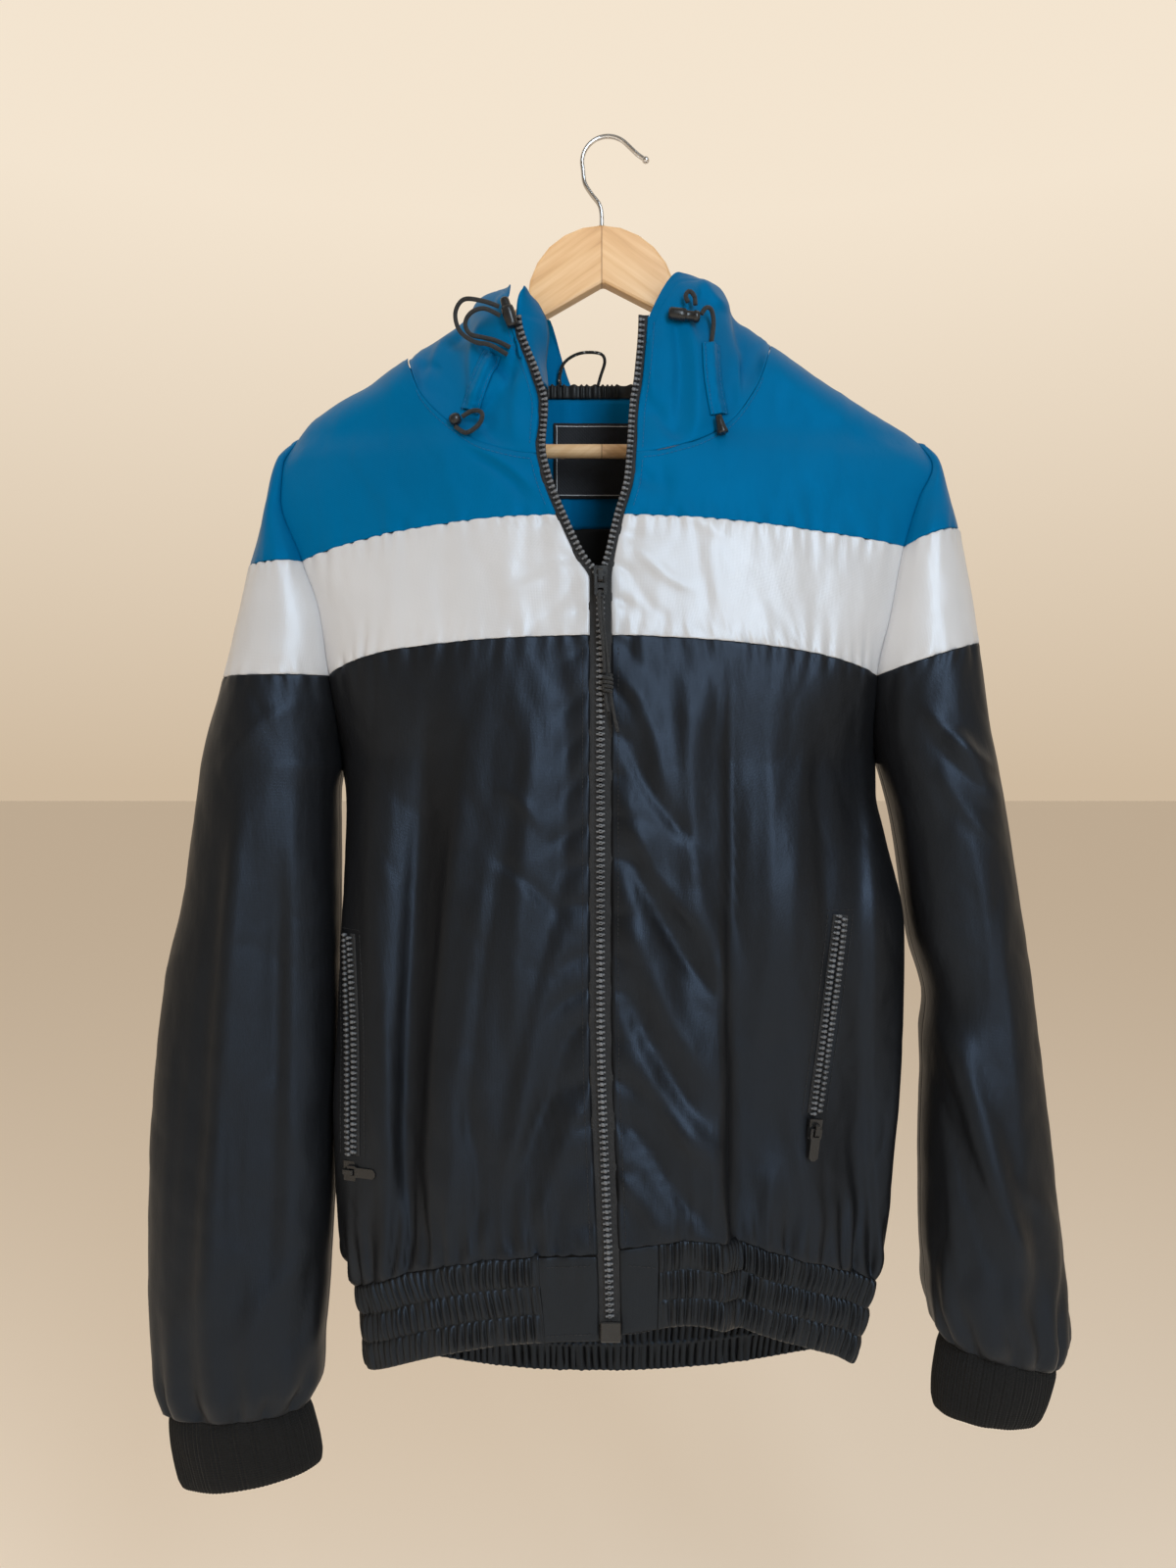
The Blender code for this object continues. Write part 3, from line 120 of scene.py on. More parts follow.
def make_light():
    """A cool window at the right, a warmer room at the left, and pale walls all round."""
    bpy.context.scene.view_settings.view_transform = "Standard"
    area_light("window", (0.62, -1.7, 0.2), (0, 0, -0.45), (0.55, 1.4), 25, (0.76, 0.89, 1.0))
    area_light("room", (-1.6, -1.5, 0.3), (0, 0, -0.5), (1.2, 1.4), 17, (1.0, 0.95, 0.88), False)
    area_light("top", (0.0, -0.8, 1.4), (0, 0, -0.3), (1.4, 0.9), 7, (1.0, 0.96, 0.9), False)
    make_world()
    mesh = bpy.data.meshes.new("floor")
    corners = [(x * FLOOR["half"], y * FLOOR["half"], FLOOR["z"]) for x, y in SQUARE]
    mesh.from_pydata(corners, [], [(0, 1, 2, 3)])
    floor = add("floor", mesh)
    paint = bpy.data.materials.new("floor")
    paint.use_nodes = True
    shader = paint.node_tree.nodes["Principled BSDF"]
    shader.inputs["Base Color"].default_value = FLOOR["colour"]
    shader.inputs["Roughness"].default_value = FLOOR["roughness"]
    shader.inputs["Specular IOR Level"].default_value = 0.0
    mesh.materials.append(paint)


make_camera()
make_light()

# ---------------------------------------------------------------- the model's own sizes

CLOTH = 1.2
RIB_CLOTH = 2.0
TAPE_WIDTH = 7.0
SHOULDER_ROUND = 30.0
SLEEVE_PULL = 0.3
CHEST_SEAM = {"middle": -278.5, LEFT: -304.0, RIGHT: -294.0}
BODY_SEAM = {"middle": -358.0, LEFT: -381.0, RIGHT: -381.0}
ARMPIT = -440.0
ZIP_TOP = -141.0
HEM_TOP = {"front": -758.0, "side": -796.0, "back": -826.0}
HEM_BOTTOM = {"front": -813.0, "side": -853.0, "back": -883.0}
BACK_MIDDLE = -6.0
HEM_RISE = {"side": RIGHT, "share": 0.14, "spread": 0.14, "height": 11.0}
HEM_BLOCK = {LEFT: 37.0, RIGHT: 24.0}


def mix(a, b, t):
    return a + (b - a) * t


def smoothstep(t):
    t = np.clip(t, 0.0, 1.0)
    return t * t * (3 - 2 * t)


def numbers(text):
    """Rows of numbers from text, one a line or parted by semicolons."""
    rows = text.replace("\n", ";").split(";")
    return [[float(word) for word in row.split()] for row in rows if row.strip()]


class Table:
    """Rows of numbers that give one smooth curve for each named column, along the first."""

    def __init__(self, columns, rows):
        rows = np.array(sorted(numbers(rows) if isinstance(rows, str) else rows))
        self.keys = rows[:, 0]
        self.columns = dict(zip(columns.split(), rows.T))
        self.slopes = {name: self.tangents(values) for name, values in self.columns.items()}

    def tangents(self, values):
        """Tangent at each row that never overshoots its neighbours."""
        steps = np.diff(values) / np.diff(self.keys)
        slopes = np.zeros(len(values))
        for i in range(1, len(values) - 1):
            before, after = steps[i - 1], steps[i]
            if before * after > 0:
                slopes[i] = 2 * before * after / (before + after)
        return slopes

    def __call__(self, column, at):
        values, slopes, keys = self.columns[column], self.slopes[column], self.keys
        at = np.clip(at, keys[0], keys[-1])
        i = np.clip(np.searchsorted(keys, at, side="right") - 1, 0, len(keys) - 2)
        step = keys[i + 1] - keys[i]
        t = (at - keys[i]) / step
        return (
            values[i] * (1 + 2 * t) * (1 - t) ** 2
            + values[i + 1] * t * t * (3 - 2 * t)
            + slopes[i] * step * t * (1 - t) ** 2
            + slopes[i + 1] * step * t * t * (t - 1)
        )


ZIP = Table(
    "z left right",
    """-141 -58 19; -183 -45 16; -202 -40 13; -231 -41.5 11; -254 -37 9; -280 -27 2; -308 -14 -4
    -322 -6 -6; -600 -6 -6; -815 0 0""",
)

TORSO = Table(
    "z left right front_middle front_side back_middle back_side round",
    """-141 217 217 -45 -18 24 15 0; -213 217 217 -51 -18 26 14 0; -235 223 222 -57 -24 27 16 0
    -260 223 211 -61 -30 28 19 0; -300 209 198 -65 -35 29 21 0.05; -340 195 190 -68 -36 30 20 0.15
    -381 190 182 -70 -30 31 16 0.4; -415 187 183 -71 -16 32 8 0.34; -440 186 187 -71 -4 33 -4 0.38
    -460 183 187 -71 -4 33 -4 0.5; -489 182 193 -71 -4 34 -4 0.62; -554 183 206 -71 -6 35 -6 0.86
    -648 185 202 -72 -8 36 -8 1; -721 186 196 -74 -9 37 -9 1; -769 184 192 -75 -9 38 -9 1
    -804 172 182 -75 -9 37 -9 1; -882 166 165 -73 -9 33 -9 1""",
)

SHOULDER = Table(
    "x left right",
    """0 -90 -82; 60 -116 -118; 113 -145 -150; 139 -160 -167; 204 -198 -206; 225 -218 -218""",
)

NECK = {
    "front": Table(
        "share left right",
        """0 -237 -236; 0.2 -231 -229; 0.36 -214 -214; 0.48 -193 -186; 0.53 -172 -163
        0.56 -160.5 -151""",
    ),
    "back": Table(
        "share left right",
        """0 -181 -181; 0.3 -177 -175; 0.53 -167 -158; 0.56 -160.5 -151""",
    ),
}
NECK_SHARE = 0.56
NECK_X = {LEFT: 139.0, RIGHT: 113.0}

SLEEVE_COLUMNS = "z inner outer outer_z depth middle open"
SLEEVE = {
    LEFT: Table(
        SLEEVE_COLUMNS,
        """-218 213 222 -219 10 -1 0.5; -230 217 229 -231 22 -2 0.5; -260 210 236 -262 34 -4 0.5
        -304 180 247 -306 42 -6 0.4; -381 178 265 -382 45 -7 0.25; -415 184 274 -416 45 -7 0.1
        -440 186 280 -443 45 -6 0; -460 189 283 -462 45 -6 0; -538 188 295 -538 43 -5 0
        -590 188 307 -588 42 -6 0; -648 189 313 -648 41 -8 0; -749 192 316 -749 40 -12 0
        -818 196 315 -818 39 -14 0; -861 200 311 -863 36 -15 0; -880 207 304 -884 30 -15 0""",
    ),
    RIGHT: Table(
        SLEEVE_COLUMNS,
        """-218 213 222 -219 10 -1 0.5; -230 216 228 -230 22 -2 0.5; -260 188 236 -255 34 -4 0.5
        -294 175 241 -280 42 -6 0.4; -381 172 254 -358 45 -7 0.25; -415 180 258 -388 45 -7 0.1
        -440 189 262 -412 45 -6 0; -458 194 266 -432 45 -6 0; -489 201 272 -462 44 -5 0
        -559 212 284 -540 43 -5 0; -607 224 292 -595 41 -6 0; -634 221 296 -632 41 -8 0
        -730 218 305 -728 40 -12 0; -795 218 313 -796 38 -14 0; -823 223 315 -834 34 -15 0
        -835 229 309 -854 29 -15 0""",
    ),
}
CUFF = {
    LEFT: {"top": ((208, -881), (302, -885)), "bottom": ((199, -921), (294, -936))},
    RIGHT: {"top": ((230, -836), (308, -855)), "bottom": ((225, -884), (297, -891))},
}
CUFF_DEPTH = {"top": 28.0, "bottom": 26.0}
CUFF_Y = -15.0

FOLDS = {
    # start, end, half width, height
    ("front", LEFT): numbers(
        """-126 -430 -128 -790 14 -6; -70 -500 -108 -760 18 6; -160 -420 -152 -720 12 4
        -30 -420 -38 -750 11 -2.5"""
    ),
    ("front", RIGHT): numbers(
        """22 -440 82 -600 12 5; 14 -520 72 -740 12 5; 40 -480 46 -700 12 -3; 120 -470 132 -760 16 4
        166 -430 170 -760 13 -4"""
    ),
    ("back", LEFT): numbers(
        """-120 -420 -110 -790 18 -5; -60 -460 -52 -780 18 4"""
    ),
    ("back", RIGHT): numbers(
        """50 -440 44 -790 18 4; 112 -420 120 -790 20 -5"""
    ),
}
STEP_FOLD = {"x": 80.0, "top": -520.0, "full": -700.0, "half_width": 9.0, "drop": 20.0}
SLEEVE_FOLDS = {
    # as FOLDS
    LEFT: numbers(
        """-245 -470 -268 -840 9 5; -222 -520 -232 -800 10 -4"""
    ),
    RIGHT: numbers(
        """226 -420 262 -470 8 5; 228 -612 276 -780 9 5"""
    ),
}

HOOD = {
    # share of neck, then places of the edge, the outer low, the inner low and the crest
    (RIGHT, "front"): numbers(
        """0 26 -45 -144 24 -47 -170 22 -49 -190 19 -51 -212
        0.2 48 -30 -107 50 -38 -126 52 -44 -160 54 -48 -195
        0.36 71 -10 -109 76 -20 -116 80 -30 -145 81 -38 -180
        0.48 80 10 -122 86 -2 -126 93 -14 -138 98 -25 -160
        0.53 90 24 -140 97 12 -138 103 -1 -140 107 -15 -148"""
    ),
    (RIGHT, "back"): numbers(
        """0.56 100 42 -160 112 36 -160 113 26 -152 111 14 -142
        0.48 100 50 -178 112 48 -244 108 38 -240 97 27 -152
        0.3 84 54 -196 88 52 -352 86 41 -357 60 33 -166
        0 -6 56 -212 -6 54 -398 -6 42 -404 -6 34 -190"""
    ),
    (LEFT, "back"): numbers(
        """0.07 -24 55 -210 -26 53 -393 -25 42 -399 -23 33 -184
        0.15 -48 55 -206 -52 53 -384 -50 41 -390 -43 31 -124
        0.3 -100 54 -200 -104 52 -356 -102 41 -361 -80 31 -124
        0.48 -122 50 -182 -134 48 -252 -130 38 -248 -118 27 -148
        0.56 -124 42 -170 -138 36 -170 -138 26 -160 -136 14 -151"""
    ),
    (LEFT, "front"): numbers(
        """0.53 -108 26 -148 -118 14 -146 -126 0 -148 -132 -16 -157
        0.48 -92 12 -128 -103 0 -134 -113 -14 -146 -122 -26 -168
        0.36 -78 -8 -116 -88 -16 -120 -97 -28 -150 -104 -37 -184
        0.2 -66 -28 -115 -72 -36 -132 -78 -43 -165 -82 -47 -200
        0 -65 -45 -141 -61 -47 -166 -52 -49 -188 -47 -51 -210"""
    ),
}


def fold_rise(folds, x, z):
    """Sum of the folds at each place: a bell across a fold's line, which fades at its ends."""
    rise = np.zeros(np.broadcast(x, z).shape)
    for x0, z0, x1, z1, half_width, height in folds:
        dx, dz = x1 - x0, z1 - z0
        share = ((x - x0) * dx + (z - z0) * dz) / (dx * dx + dz * dz)
        off = np.hypot(x - x0 - dx * share, z - z0 - dz * share) / half_width
        fade = smoothstep((share + 0.1) / 0.3) * smoothstep((1.1 - share) / 0.3)
        rise = rise + height * fade * np.exp(-off * off)
    return rise


def zip_x(side, z):
    return ZIP(SIDES[side], z)


def torso(face, side, share, z):
    """Points of the body, share 0 at the zip or the back's middle and 1 at the armhole or side."""
    share, z = np.broadcast_arrays(np.asarray(share, float), np.asarray(z, float))
    edge = zip_x(side, z) + side * TAPE_WIDTH if face == "front" else BACK_MIDDLE
    seam_x = side * TORSO(SIDES[side], z)
    roundness = TORSO("round", z)
    turn = 0.5 * math.pi * share
    neck_x = side * NECK_X[side]
    flat_x = np.where(
        share < NECK_SHARE,
        mix(edge, neck_x, share / NECK_SHARE),
        mix(neck_x, seam_x, (share - NECK_SHARE) / (1 - NECK_SHARE)),
    )
    curve = np.where(share < 1, np.maximum(np.cos(turn), 0) ** 0.7, 0.0)
    forward = mix(1 - share * share, curve, roundness)
    x = mix(flat_x, mix(edge, seam_x, np.sin(turn) ** 0.85), roundness)
    y = mix(TORSO(face + "_side", z), TORSO(face + "_middle", z), forward)
    rise = fold_rise(FOLDS[face, side], x, z) * np.minimum(1, 6 * share * (1 - share))
    y = y - rise if face == "front" else y + rise
    if face == "front" and side == RIGHT:
        depth = smoothstep((STEP_FOLD["top"] - z) / (STEP_FOLD["top"] - STEP_FOLD["full"]))
        past = smoothstep(0.5 + (x - STEP_FOLD["x"]) / (2 * STEP_FOLD["half_width"]))
        y = y + STEP_FOLD["drop"] * depth * past * smoothstep((1 - share) / 0.35)
    below = SHOULDER(SIDES[side], np.abs(x)) - z
    up = 1 - np.clip(below / SHOULDER_ROUND, 0.0, 1.0)
    return np.stack([x, y * np.sqrt(1 - up * up), z], axis=-1)


def top_line(face, side, share):
    """Height of the yoke's top: the neck seam, then the shoulder line."""
    share = np.asarray(share, float)
    low, high = np.full(share.shape, -260.0), np.full(share.shape, -90.0)
    for _ in range(30):
        middle = (low + high) / 2
        x = np.abs(torso(face, side, share, middle)[..., 0])
        above = SHOULDER(SIDES[side], x) > middle
        low, high = np.where(above, middle, low), np.where(above, high, middle)
    return np.where(share <= NECK_SHARE, NECK[face](SIDES[side], share), low)


def seam_line(seam, side, share):
    return mix(seam["middle"], seam[side], share**1.7)


def hem_line(line, face, side, share):
    height = mix(line[face], line["side"], np.sin(0.5 * math.pi * share) ** 2)
    if (face, side) == ("front", HEM_RISE["side"]):
        off = (share - HEM_RISE["share"]) / HEM_RISE["spread"]
        height = height + HEM_RISE["height"] * np.exp(-(off**2))
    return height


def sleeve_point(side, share, z):
    row = SLEEVE[side]
    turn = mix(row("open", z), 2 - row("open", z), share) * math.pi
    outward = (1 - np.cos(turn)) / 2
    x = side * mix(row("inner", z), row("outer", z), outward)
    height = mix(z, row("outer_z", z), outward)
    wave = np.copysign(np.abs(np.sin(turn)) ** 0.8, np.sin(turn))
    middle = row("middle", z)
    y = middle - row("depth", z) * wave
    rise = fold_rise(SLEEVE_FOLDS[side], x, height)
    y = np.where(y < middle, y - rise, np.minimum(y + 0.6 * rise, 56))
    return np.stack([x, y, height], axis=-1)


def sleeve(side, share, z):
    """The sleeve's surface, its two ends drawn to the armhole where it opens to the body."""
    share, z = np.broadcast_arrays(np.asarray(share, float), np.asarray(z, float))
    point = sleeve_point(side, share, z)
    joined = (z >= ARMPIT)[..., None]
    for face, end, away in (("front", 0.0, share), ("back", 1.0, 1 - share)):
        pull = (np.maximum(0.0, 1 - away / SLEEVE_PULL) ** 2)[..., None]
        shift = torso(face, side, np.ones_like(z), z) - sleeve_point(side, np.full_like(z, end), z)
        point = point + np.where(joined, shift * pull, 0.0)
    return point


def profile_points(keys, t):
    """Catmull-Rom curve through key points, at each t from 0 to 1."""
    keys, t = np.asarray(keys, float), np.asarray(t, float)
    last = len(keys) - 1
    i = np.minimum((t * last).astype(int), last - 1)
    u = (t * last - i)[:, None]
    a, b = keys[np.maximum(i - 1, 0)], keys[i]
    c, d = keys[i + 1], keys[np.minimum(i + 2, last)]
    return 0.5 * (
        2 * b + (c - a) * u + (2 * a - 5 * b + 4 * c - d) * u**2 + (3 * b - a - 3 * c + d) * u**3
    )


def neck_place(side, face, share):
    """Place along the neck seam, from 0 at the right of the zip to 4 at its left."""
    within = share / NECK_SHARE
    if side == RIGHT:
        return within if face == "front" else 2 - within
    return 2 + within if face == "back" else 4 - within


HOOD_KEYS = Table(
    "place " + " ".join(axis + key for key in "0123" for axis in "xyz"),
    [[neck_place(*half, row[0]), *row[1:]] for half, rows in HOOD.items() for row in rows],
)


def hood_column(side, face, share, rows):
    """Points of one hood column from its free edge down to the neck seam."""
    place = neck_place(side, face, share)
    keys = [[float(HOOD_KEYS(axis + key, place)) for axis in "xyz"] for key in "0123"]
    seam = torso(face, side, share, NECK[face](SIDES[side], share))
    column = profile_points(keys + [list(seam)], rows)
    if face == "front":
        z = mix(ZIP_TOP, seam[2], rows)
        edge = np.stack([zip_x(side, z) + side * TAPE_WIDTH, TORSO("front_middle", z), z], axis=-1)
        near = smoothstep(1 - share / 0.02)
        column = mix(column, edge, near)
    return column


# ---------------------------------------------------------------- relief of the cloth


def noise(x, y, seed=0.0):
    """Smooth gradient noise from about -1 to 1, the same on every run."""
    column, row = np.floor(x), np.floor(y)
    fx, fy = x - column, y - row

    def corner(i, j):
        mess = np.sin((column + i) * 127.1 + (row + j) * 311.7 + seed * 74.7) * 43758.5453
        turn = (mess - np.floor(mess)) * TAU
        return np.cos(turn) * (fx - i) + np.sin(turn) * (fy - j)

    u = fx**3 * (fx * (fx * 6 - 15) + 10)
    v = fy**3 * (fy * (fy * 6 - 15) + 10)
    return 1.5 * mix(mix(corner(0, 0), corner(1, 0), u), mix(corner(0, 1), corner(1, 1), u), v)


def creases(rows, x, z):
    """Soft ridges (height above 0) and troughs: start, end, bow to the side, width, height.
    One flank of each is steeper than the other, as where cloth has folded over a little."""
    rise = np.zeros(np.broadcast(x, z).shape)
    for x0, z0, x1, z1, bow, width, height in rows:
        dx, dz = x1 - x0, z1 - z0
        length = math.hypot(dx, dz)
        share = ((x - x0) * dx + (z - z0) * dz) / length**2
        off = ((x - x0) * dz - (z - z0) * dx) / length
        off = (off - bow * 4 * share * (1 - share)) / width
        off = off * (1 + 0.35 * np.tanh(2 * off))
        fade = smoothstep((share + 0.05) / 0.35) * smoothstep((1.05 - share) / 0.35)
        rise = rise + height * fade / (1 + off * off) ** 2
    return rise


def gathers(along, away, pitch, reach, height, seed):
    """Small pleats that run away from a seam and die out, none quite like the next."""
    phase = along / pitch + 0.9 * noise(along / (3.1 * pitch), away / 70, seed)
    wave = 0.5 + 0.5 * np.cos(TAU * phase)
    uneven = 0.55 + 0.6 * noise(along / (1.7 * pitch), away / 90, seed + 5)
    length = reach * (1 + 0.5 * noise(along / (1.3 * pitch), along * 0, seed + 9))
    return height * uneven * (wave**1.5 - 0.35) * np.exp(-np.maximum(away, 0) / length)


def tucks(along, away, pitch, reach, depth, seed):
    """Narrow valleys that run from a gathered seam, with the cloth puffed up between them."""
    phase = along / pitch + 0.45 * noise(along / (2.3 * pitch), away / 60, seed)
    index = np.round(phase)
    apart = np.abs(phase - index) * pitch
    length = reach * (0.45 + 1.1 * np.mod(np.abs(np.sin(index * 12.99 + seed)) * 437.6, 1.0))
    share = 0.45 + 0.75 * np.mod(np.abs(np.sin(index * 78.23 + seed)) * 158.5, 1.0)
    away = np.maximum(away, 0)
    width = 0.13 * pitch + 0.06 * away
    valley = -share * np.exp(-((apart / width) ** 2)) * np.exp(-((away / length) ** 1.5))
    puff = 0.55 * np.sin(math.pi * phase) ** 2 * np.exp(-away / (0.8 * reach))
    return depth * (valley + puff)


def ridged(x, y, seed):
    """Narrow winding ridges, 1 at their tops and mostly 0 between them."""
    return np.maximum(1 - np.abs(noise(x, y, seed)) * 2.4, 0) ** 2


def rumple(x, z, seed, lean=0.0, height=1.0):
    """Slow waves that mostly run down the cloth, long soft folds, and finer dents."""
    across = x + lean * z
    slow = noise(across / 52, z / 260, seed) * 1.9
    folds = ridged(across / 70, z / 340, seed + 4) - ridged(across / 58, z / 240, seed + 5) * 0.5
    middle = noise(across / 22 + 3, z / 70, seed + 1) * 0.35
    fine = noise(across / 9, z / 24, seed + 2) * 0.1
    dents = ridged(across / 24, z / 52, seed + 3)
    return height * (slow + folds + middle + fine - 0.4 * dents)


CREASES = {
    # start, end, bow, width, height
    ("front", LEFT): numbers(
        """-172 -390 -176 -800 3 15 4; -118 -385 -136 -800 5 10 -5; -88 -400 -118 -790 6 12 5.5
        -64 -470 -98 -740 5 8 -3.4; -44 -390 -62 -640 4 12 3.6; -30 -372 -36 -560 -3 7 -2.2
        -20 -520 -66 -720 6 9 3.6; -14 -590 -62 -735 5 5 -2.6; -14 -650 -48 -752 4 7 3.2
        -72 -455 -40 -490 -3 4 1.6; -78 -500 -30 -545 -3 4 -1.6; -98 -640 -84 -755 -4 6 -2.8
        -26 -640 -70 -735 6 5 -2; -150 -560 -146 -800 -3 8 2.4; -98 -229 -47 -265 -4 5 2.2
        -92 -238 -52 -272 -4 5 -1.8; -175 -215 -120 -290 8 12 1.4; -24 -300 -70 -330 -6 6 1.6
        -20 -316 -52 -352 -4 4 -1.2; -60 -262 -66 -350 3 7 1.2; -150 -255 -142 -375 -3 9 1.2
        -110 -250 -104 -372 3 8 -1"""
    ),
    ("front", RIGHT): numbers(
        """2 -376 34 -470 -9 9 4; 8 -420 60 -500 6 6 -3.6; 4 -452 70 -560 8 11 5.4
        6 -486 74 -600 7 6 -4; 5 -512 74 -660 9 14 6.6; 4 -572 72 -690 6 6 -4.6
        4 -606 72 -706 6 11 5.4; 4 -654 66 -744 5 5 -3.4; 4 -694 42 -752 4 9 4
        52 -372 58 -540 3 12 4.4; 79 -366 82 -800 0 7 -6; 104 -384 100 -640 -3 12 2.6
        136 -400 146 -740 -4 10 -2.6; 176 -430 184 -760 3 9 2.6; 112 -690 106 -800 3 6 2.4
        22 -240 14 -275 2 4 1.8; 34 -236 44 -280 3 5 -1.2; 28 -256 90 -300 4 7 1.2
        14 -296 60 -330 5 5 1.6; 10 -312 40 -350 4 4 -1.2; 150 -200 108 -290 -8 12 1.4
        64 -262 76 -352 4 8 1.3; 128 -240 136 -372 -4 9 -1"""
    ),
    ("back", LEFT): numbers(
        """-100 -420 -92 -810 4 8 1.8; -136 -400 -128 -800 -3 7 1.8; -34 -430 -28 -800 3 8 1.5
        -78 -470 -70 -790 -4 6 -1.6; -160 -430 -156 -780 3 6 1.4; -170 -220 -60 -280 8 12 1"""
    ),
    ("back", RIGHT): numbers(
        """92 -420 98 -810 -4 8 1.8; 132 -400 140 -800 3 7 1.8; 28 -430 22 -800 -3 8 1.5
        68 -470 62 -790 4 6 -1.6; 160 -430 166 -780 -3 6 1.4; 160 -215 60 -280 -8 12 1"""
    ),
}
SLEEVE_CREASES = {
    # as CREASES
    LEFT: numbers(
        """-243 -455 -270 -850 6 6 2.2; -262 -480 -287 -820 5 8 1.5; -224 -505 -228 -830 -4 6 -1.8
        -208 -440 -214 -700 3 6 1.6; -256 -640 -246 -850 -4 5 -1.6; -286 -560 -298 -860 4 7 1.2
        -200 -396 -262 -452 7 7 1.4; -214 -372 -250 -392 4 6 -0.8"""
    ),
    RIGHT: numbers(
        """206 -398 262 -448 6 5 2.4; 212 -420 258 -462 5 4 -1.6; 214 -436 266 -500 6 6 1.8
        224 -606 279 -778 7 6 2.6; 222 -640 262 -800 5 5 -1.8; 238 -480 256 -620 -4 7 1.4
        262 -520 288 -790 5 8 1.4; 228 -700 242 -830 3 5 1.8; 280 -700 296 -850 4 6 -1.2"""
    ),
}


def body_relief(face, side, share, point, top, bottom, row):
    """How far each point of a body panel stands off its plain surface. top and bottom are the
    distances to the panel's seams; row names the panel: yoke, band or lower."""
    x, z = point[..., 0], point[..., 2]
    seed = {"front": 6 + 5 * side, "back": 21}[face]
    strength = {"yoke": 0.8, "band": 0.75, "lower": 1.0}[row]
    lean = {"front": -0.12 * side, "back": 0.0}[face]
    rise = rumple(x, z, seed, lean, strength) + creases(CREASES[face, side], x, z)
    if row == "yoke":
        rise += gathers(x, bottom, 17, 16, 0.8, seed) + tucks(x, bottom, 15, 9, 0.9, seed)
    elif row == "band":
        rise += gathers(x, top, 17, 22, 0.9, seed + 1) + gathers(x, bottom, 14, 24, 1.0, seed + 2)
        rise += tucks(x, top, 9, 9, 1.5, seed + 1) + tucks(x, bottom, 9, 11, 1.8, seed + 2)
    else:
        rise += gathers(x, top, 19, 34, 1.0, seed + 3) + tucks(x, top, 12, 12, 1.4, seed + 3)
        puckers = tucks(x, bottom, 12, 38, 4.6, seed + 4) * (0.3 + 0.6 * smoothstep(bottom / 5))
        rise += puckers + gathers(x, bottom, 31, 80, 3.2, seed + 7)
    if face == "front":
        from_zip = np.abs(x - zip_x(side, z)) - TAPE_WIDTH
        slant = z + 0.5 * from_zip
        rise += tucks(slant, from_zip - 2, 28, 13, 2.6 if row == "lower" else 2.2, seed + 6)
        rise = rise * (0.35 + 0.65 * smoothstep(from_zip / 9))
    return rise * (0.25 + 0.75 * smoothstep((1 - share) / 0.12))


def seam_dip(*distances):
    """The cloth turns in along each seam."""
    dip = 0.0
    for away in distances:
        dip = dip - 0.4 * np.exp(-((np.maximum(away, 0) / 1.2) ** 2))
    return dip


# ---------------------------------------------------------------- meshes from grids


def spaced(length, step, edge=(0.9, 2.4)):
    """Shares from 0 to 1 about step apart, closer together at both ends."""
    length = max(length, 4 * edge[-1])
    inner = np.linspace(edge[-1] / length, 1 - edge[-1] / length, max(2, round(length / step)))
    ends = [e / length for e in edge[:-1]]
    return np.array([0.0, *ends, *inner, *[1 - e for e in ends[::-1]], 1.0])


def unit(vectors):
    """Vectors of length 1 along the last axis."""
    return vectors / np.maximum(np.linalg.norm(vectors, axis=-1, keepdims=True), 1e-9)


def grid_normals(points, ring=False):
    """Outward normals: columns run anticlockwise seen from above, rows from top to bottom."""
    down = np.gradient(points, axis=0)
    if ring:
        along = np.roll(points, -1, axis=1) - np.roll(points, 1, axis=1)
    else:
        along = np.gradient(points, axis=1)
    return unit(np.cross(down, along))


def lined(points, relief, base=CLOTH / 2):
    return points + grid_normals(points) * (relief + base)[..., None]


def lengths_along(points, axis=0):
    """Distance from the first point to each, along one axis of the grid."""
    steps = np.linalg.norm(np.diff(points, axis=axis), axis=-1)
    if steps.ndim > 1:
        steps = steps.mean(1 - axis)
    return np.concatenate([[0], np.cumsum(steps)])


def mesh_from(name, points, ring=False):
    """A smooth mesh of a grid in millimetres, with a UV map in metres along rows and columns."""
    rows, columns = points.shape[:2]
    spans = columns if ring else columns - 1
    i, j = np.meshgrid(np.arange(rows - 1), np.arange(spans), indexing="ij")
    k, here, below = (j + 1) % columns, i * columns, (i + 1) * columns
    faces = np.stack([here + j, below + j, below + k, here + k], -1).reshape(-1, 4)
    mesh = bpy.data.meshes.new(name)
    mesh.from_pydata((points.reshape(-1, 3) * MM).tolist(), [], faces.tolist())
    u = lengths_along(points, 1) * MM
    v = -lengths_along(points, 0) * MM
    if ring:
        u = np.append(u, u[-1] + u[1])
    corner_u = np.stack([u[j], u[j], u[j + 1], u[j + 1]], -1).reshape(-1)
    corner_v = np.stack([v[i], v[i + 1], v[i + 1], v[i]], -1).reshape(-1)
    layer = mesh.uv_layers.new(name="cloth")
    layer.data.foreach_set("uv", np.stack([corner_u, corner_v], -1).reshape(-1).astype(np.float32))
    mesh.shade_smooth()
    return mesh


def dress(obj, material, nodes=(), body=BODY):
    """Gives a piece its material if it has none, attaches it to its body, and hides the nodes it
    stands for.
    """
    if not obj.data.materials:
        obj.data.materials.append(material)
    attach(obj, body)
    if nodes:
        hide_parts(*nodes)
    return obj


SHELLS, CUTS = {}, {}


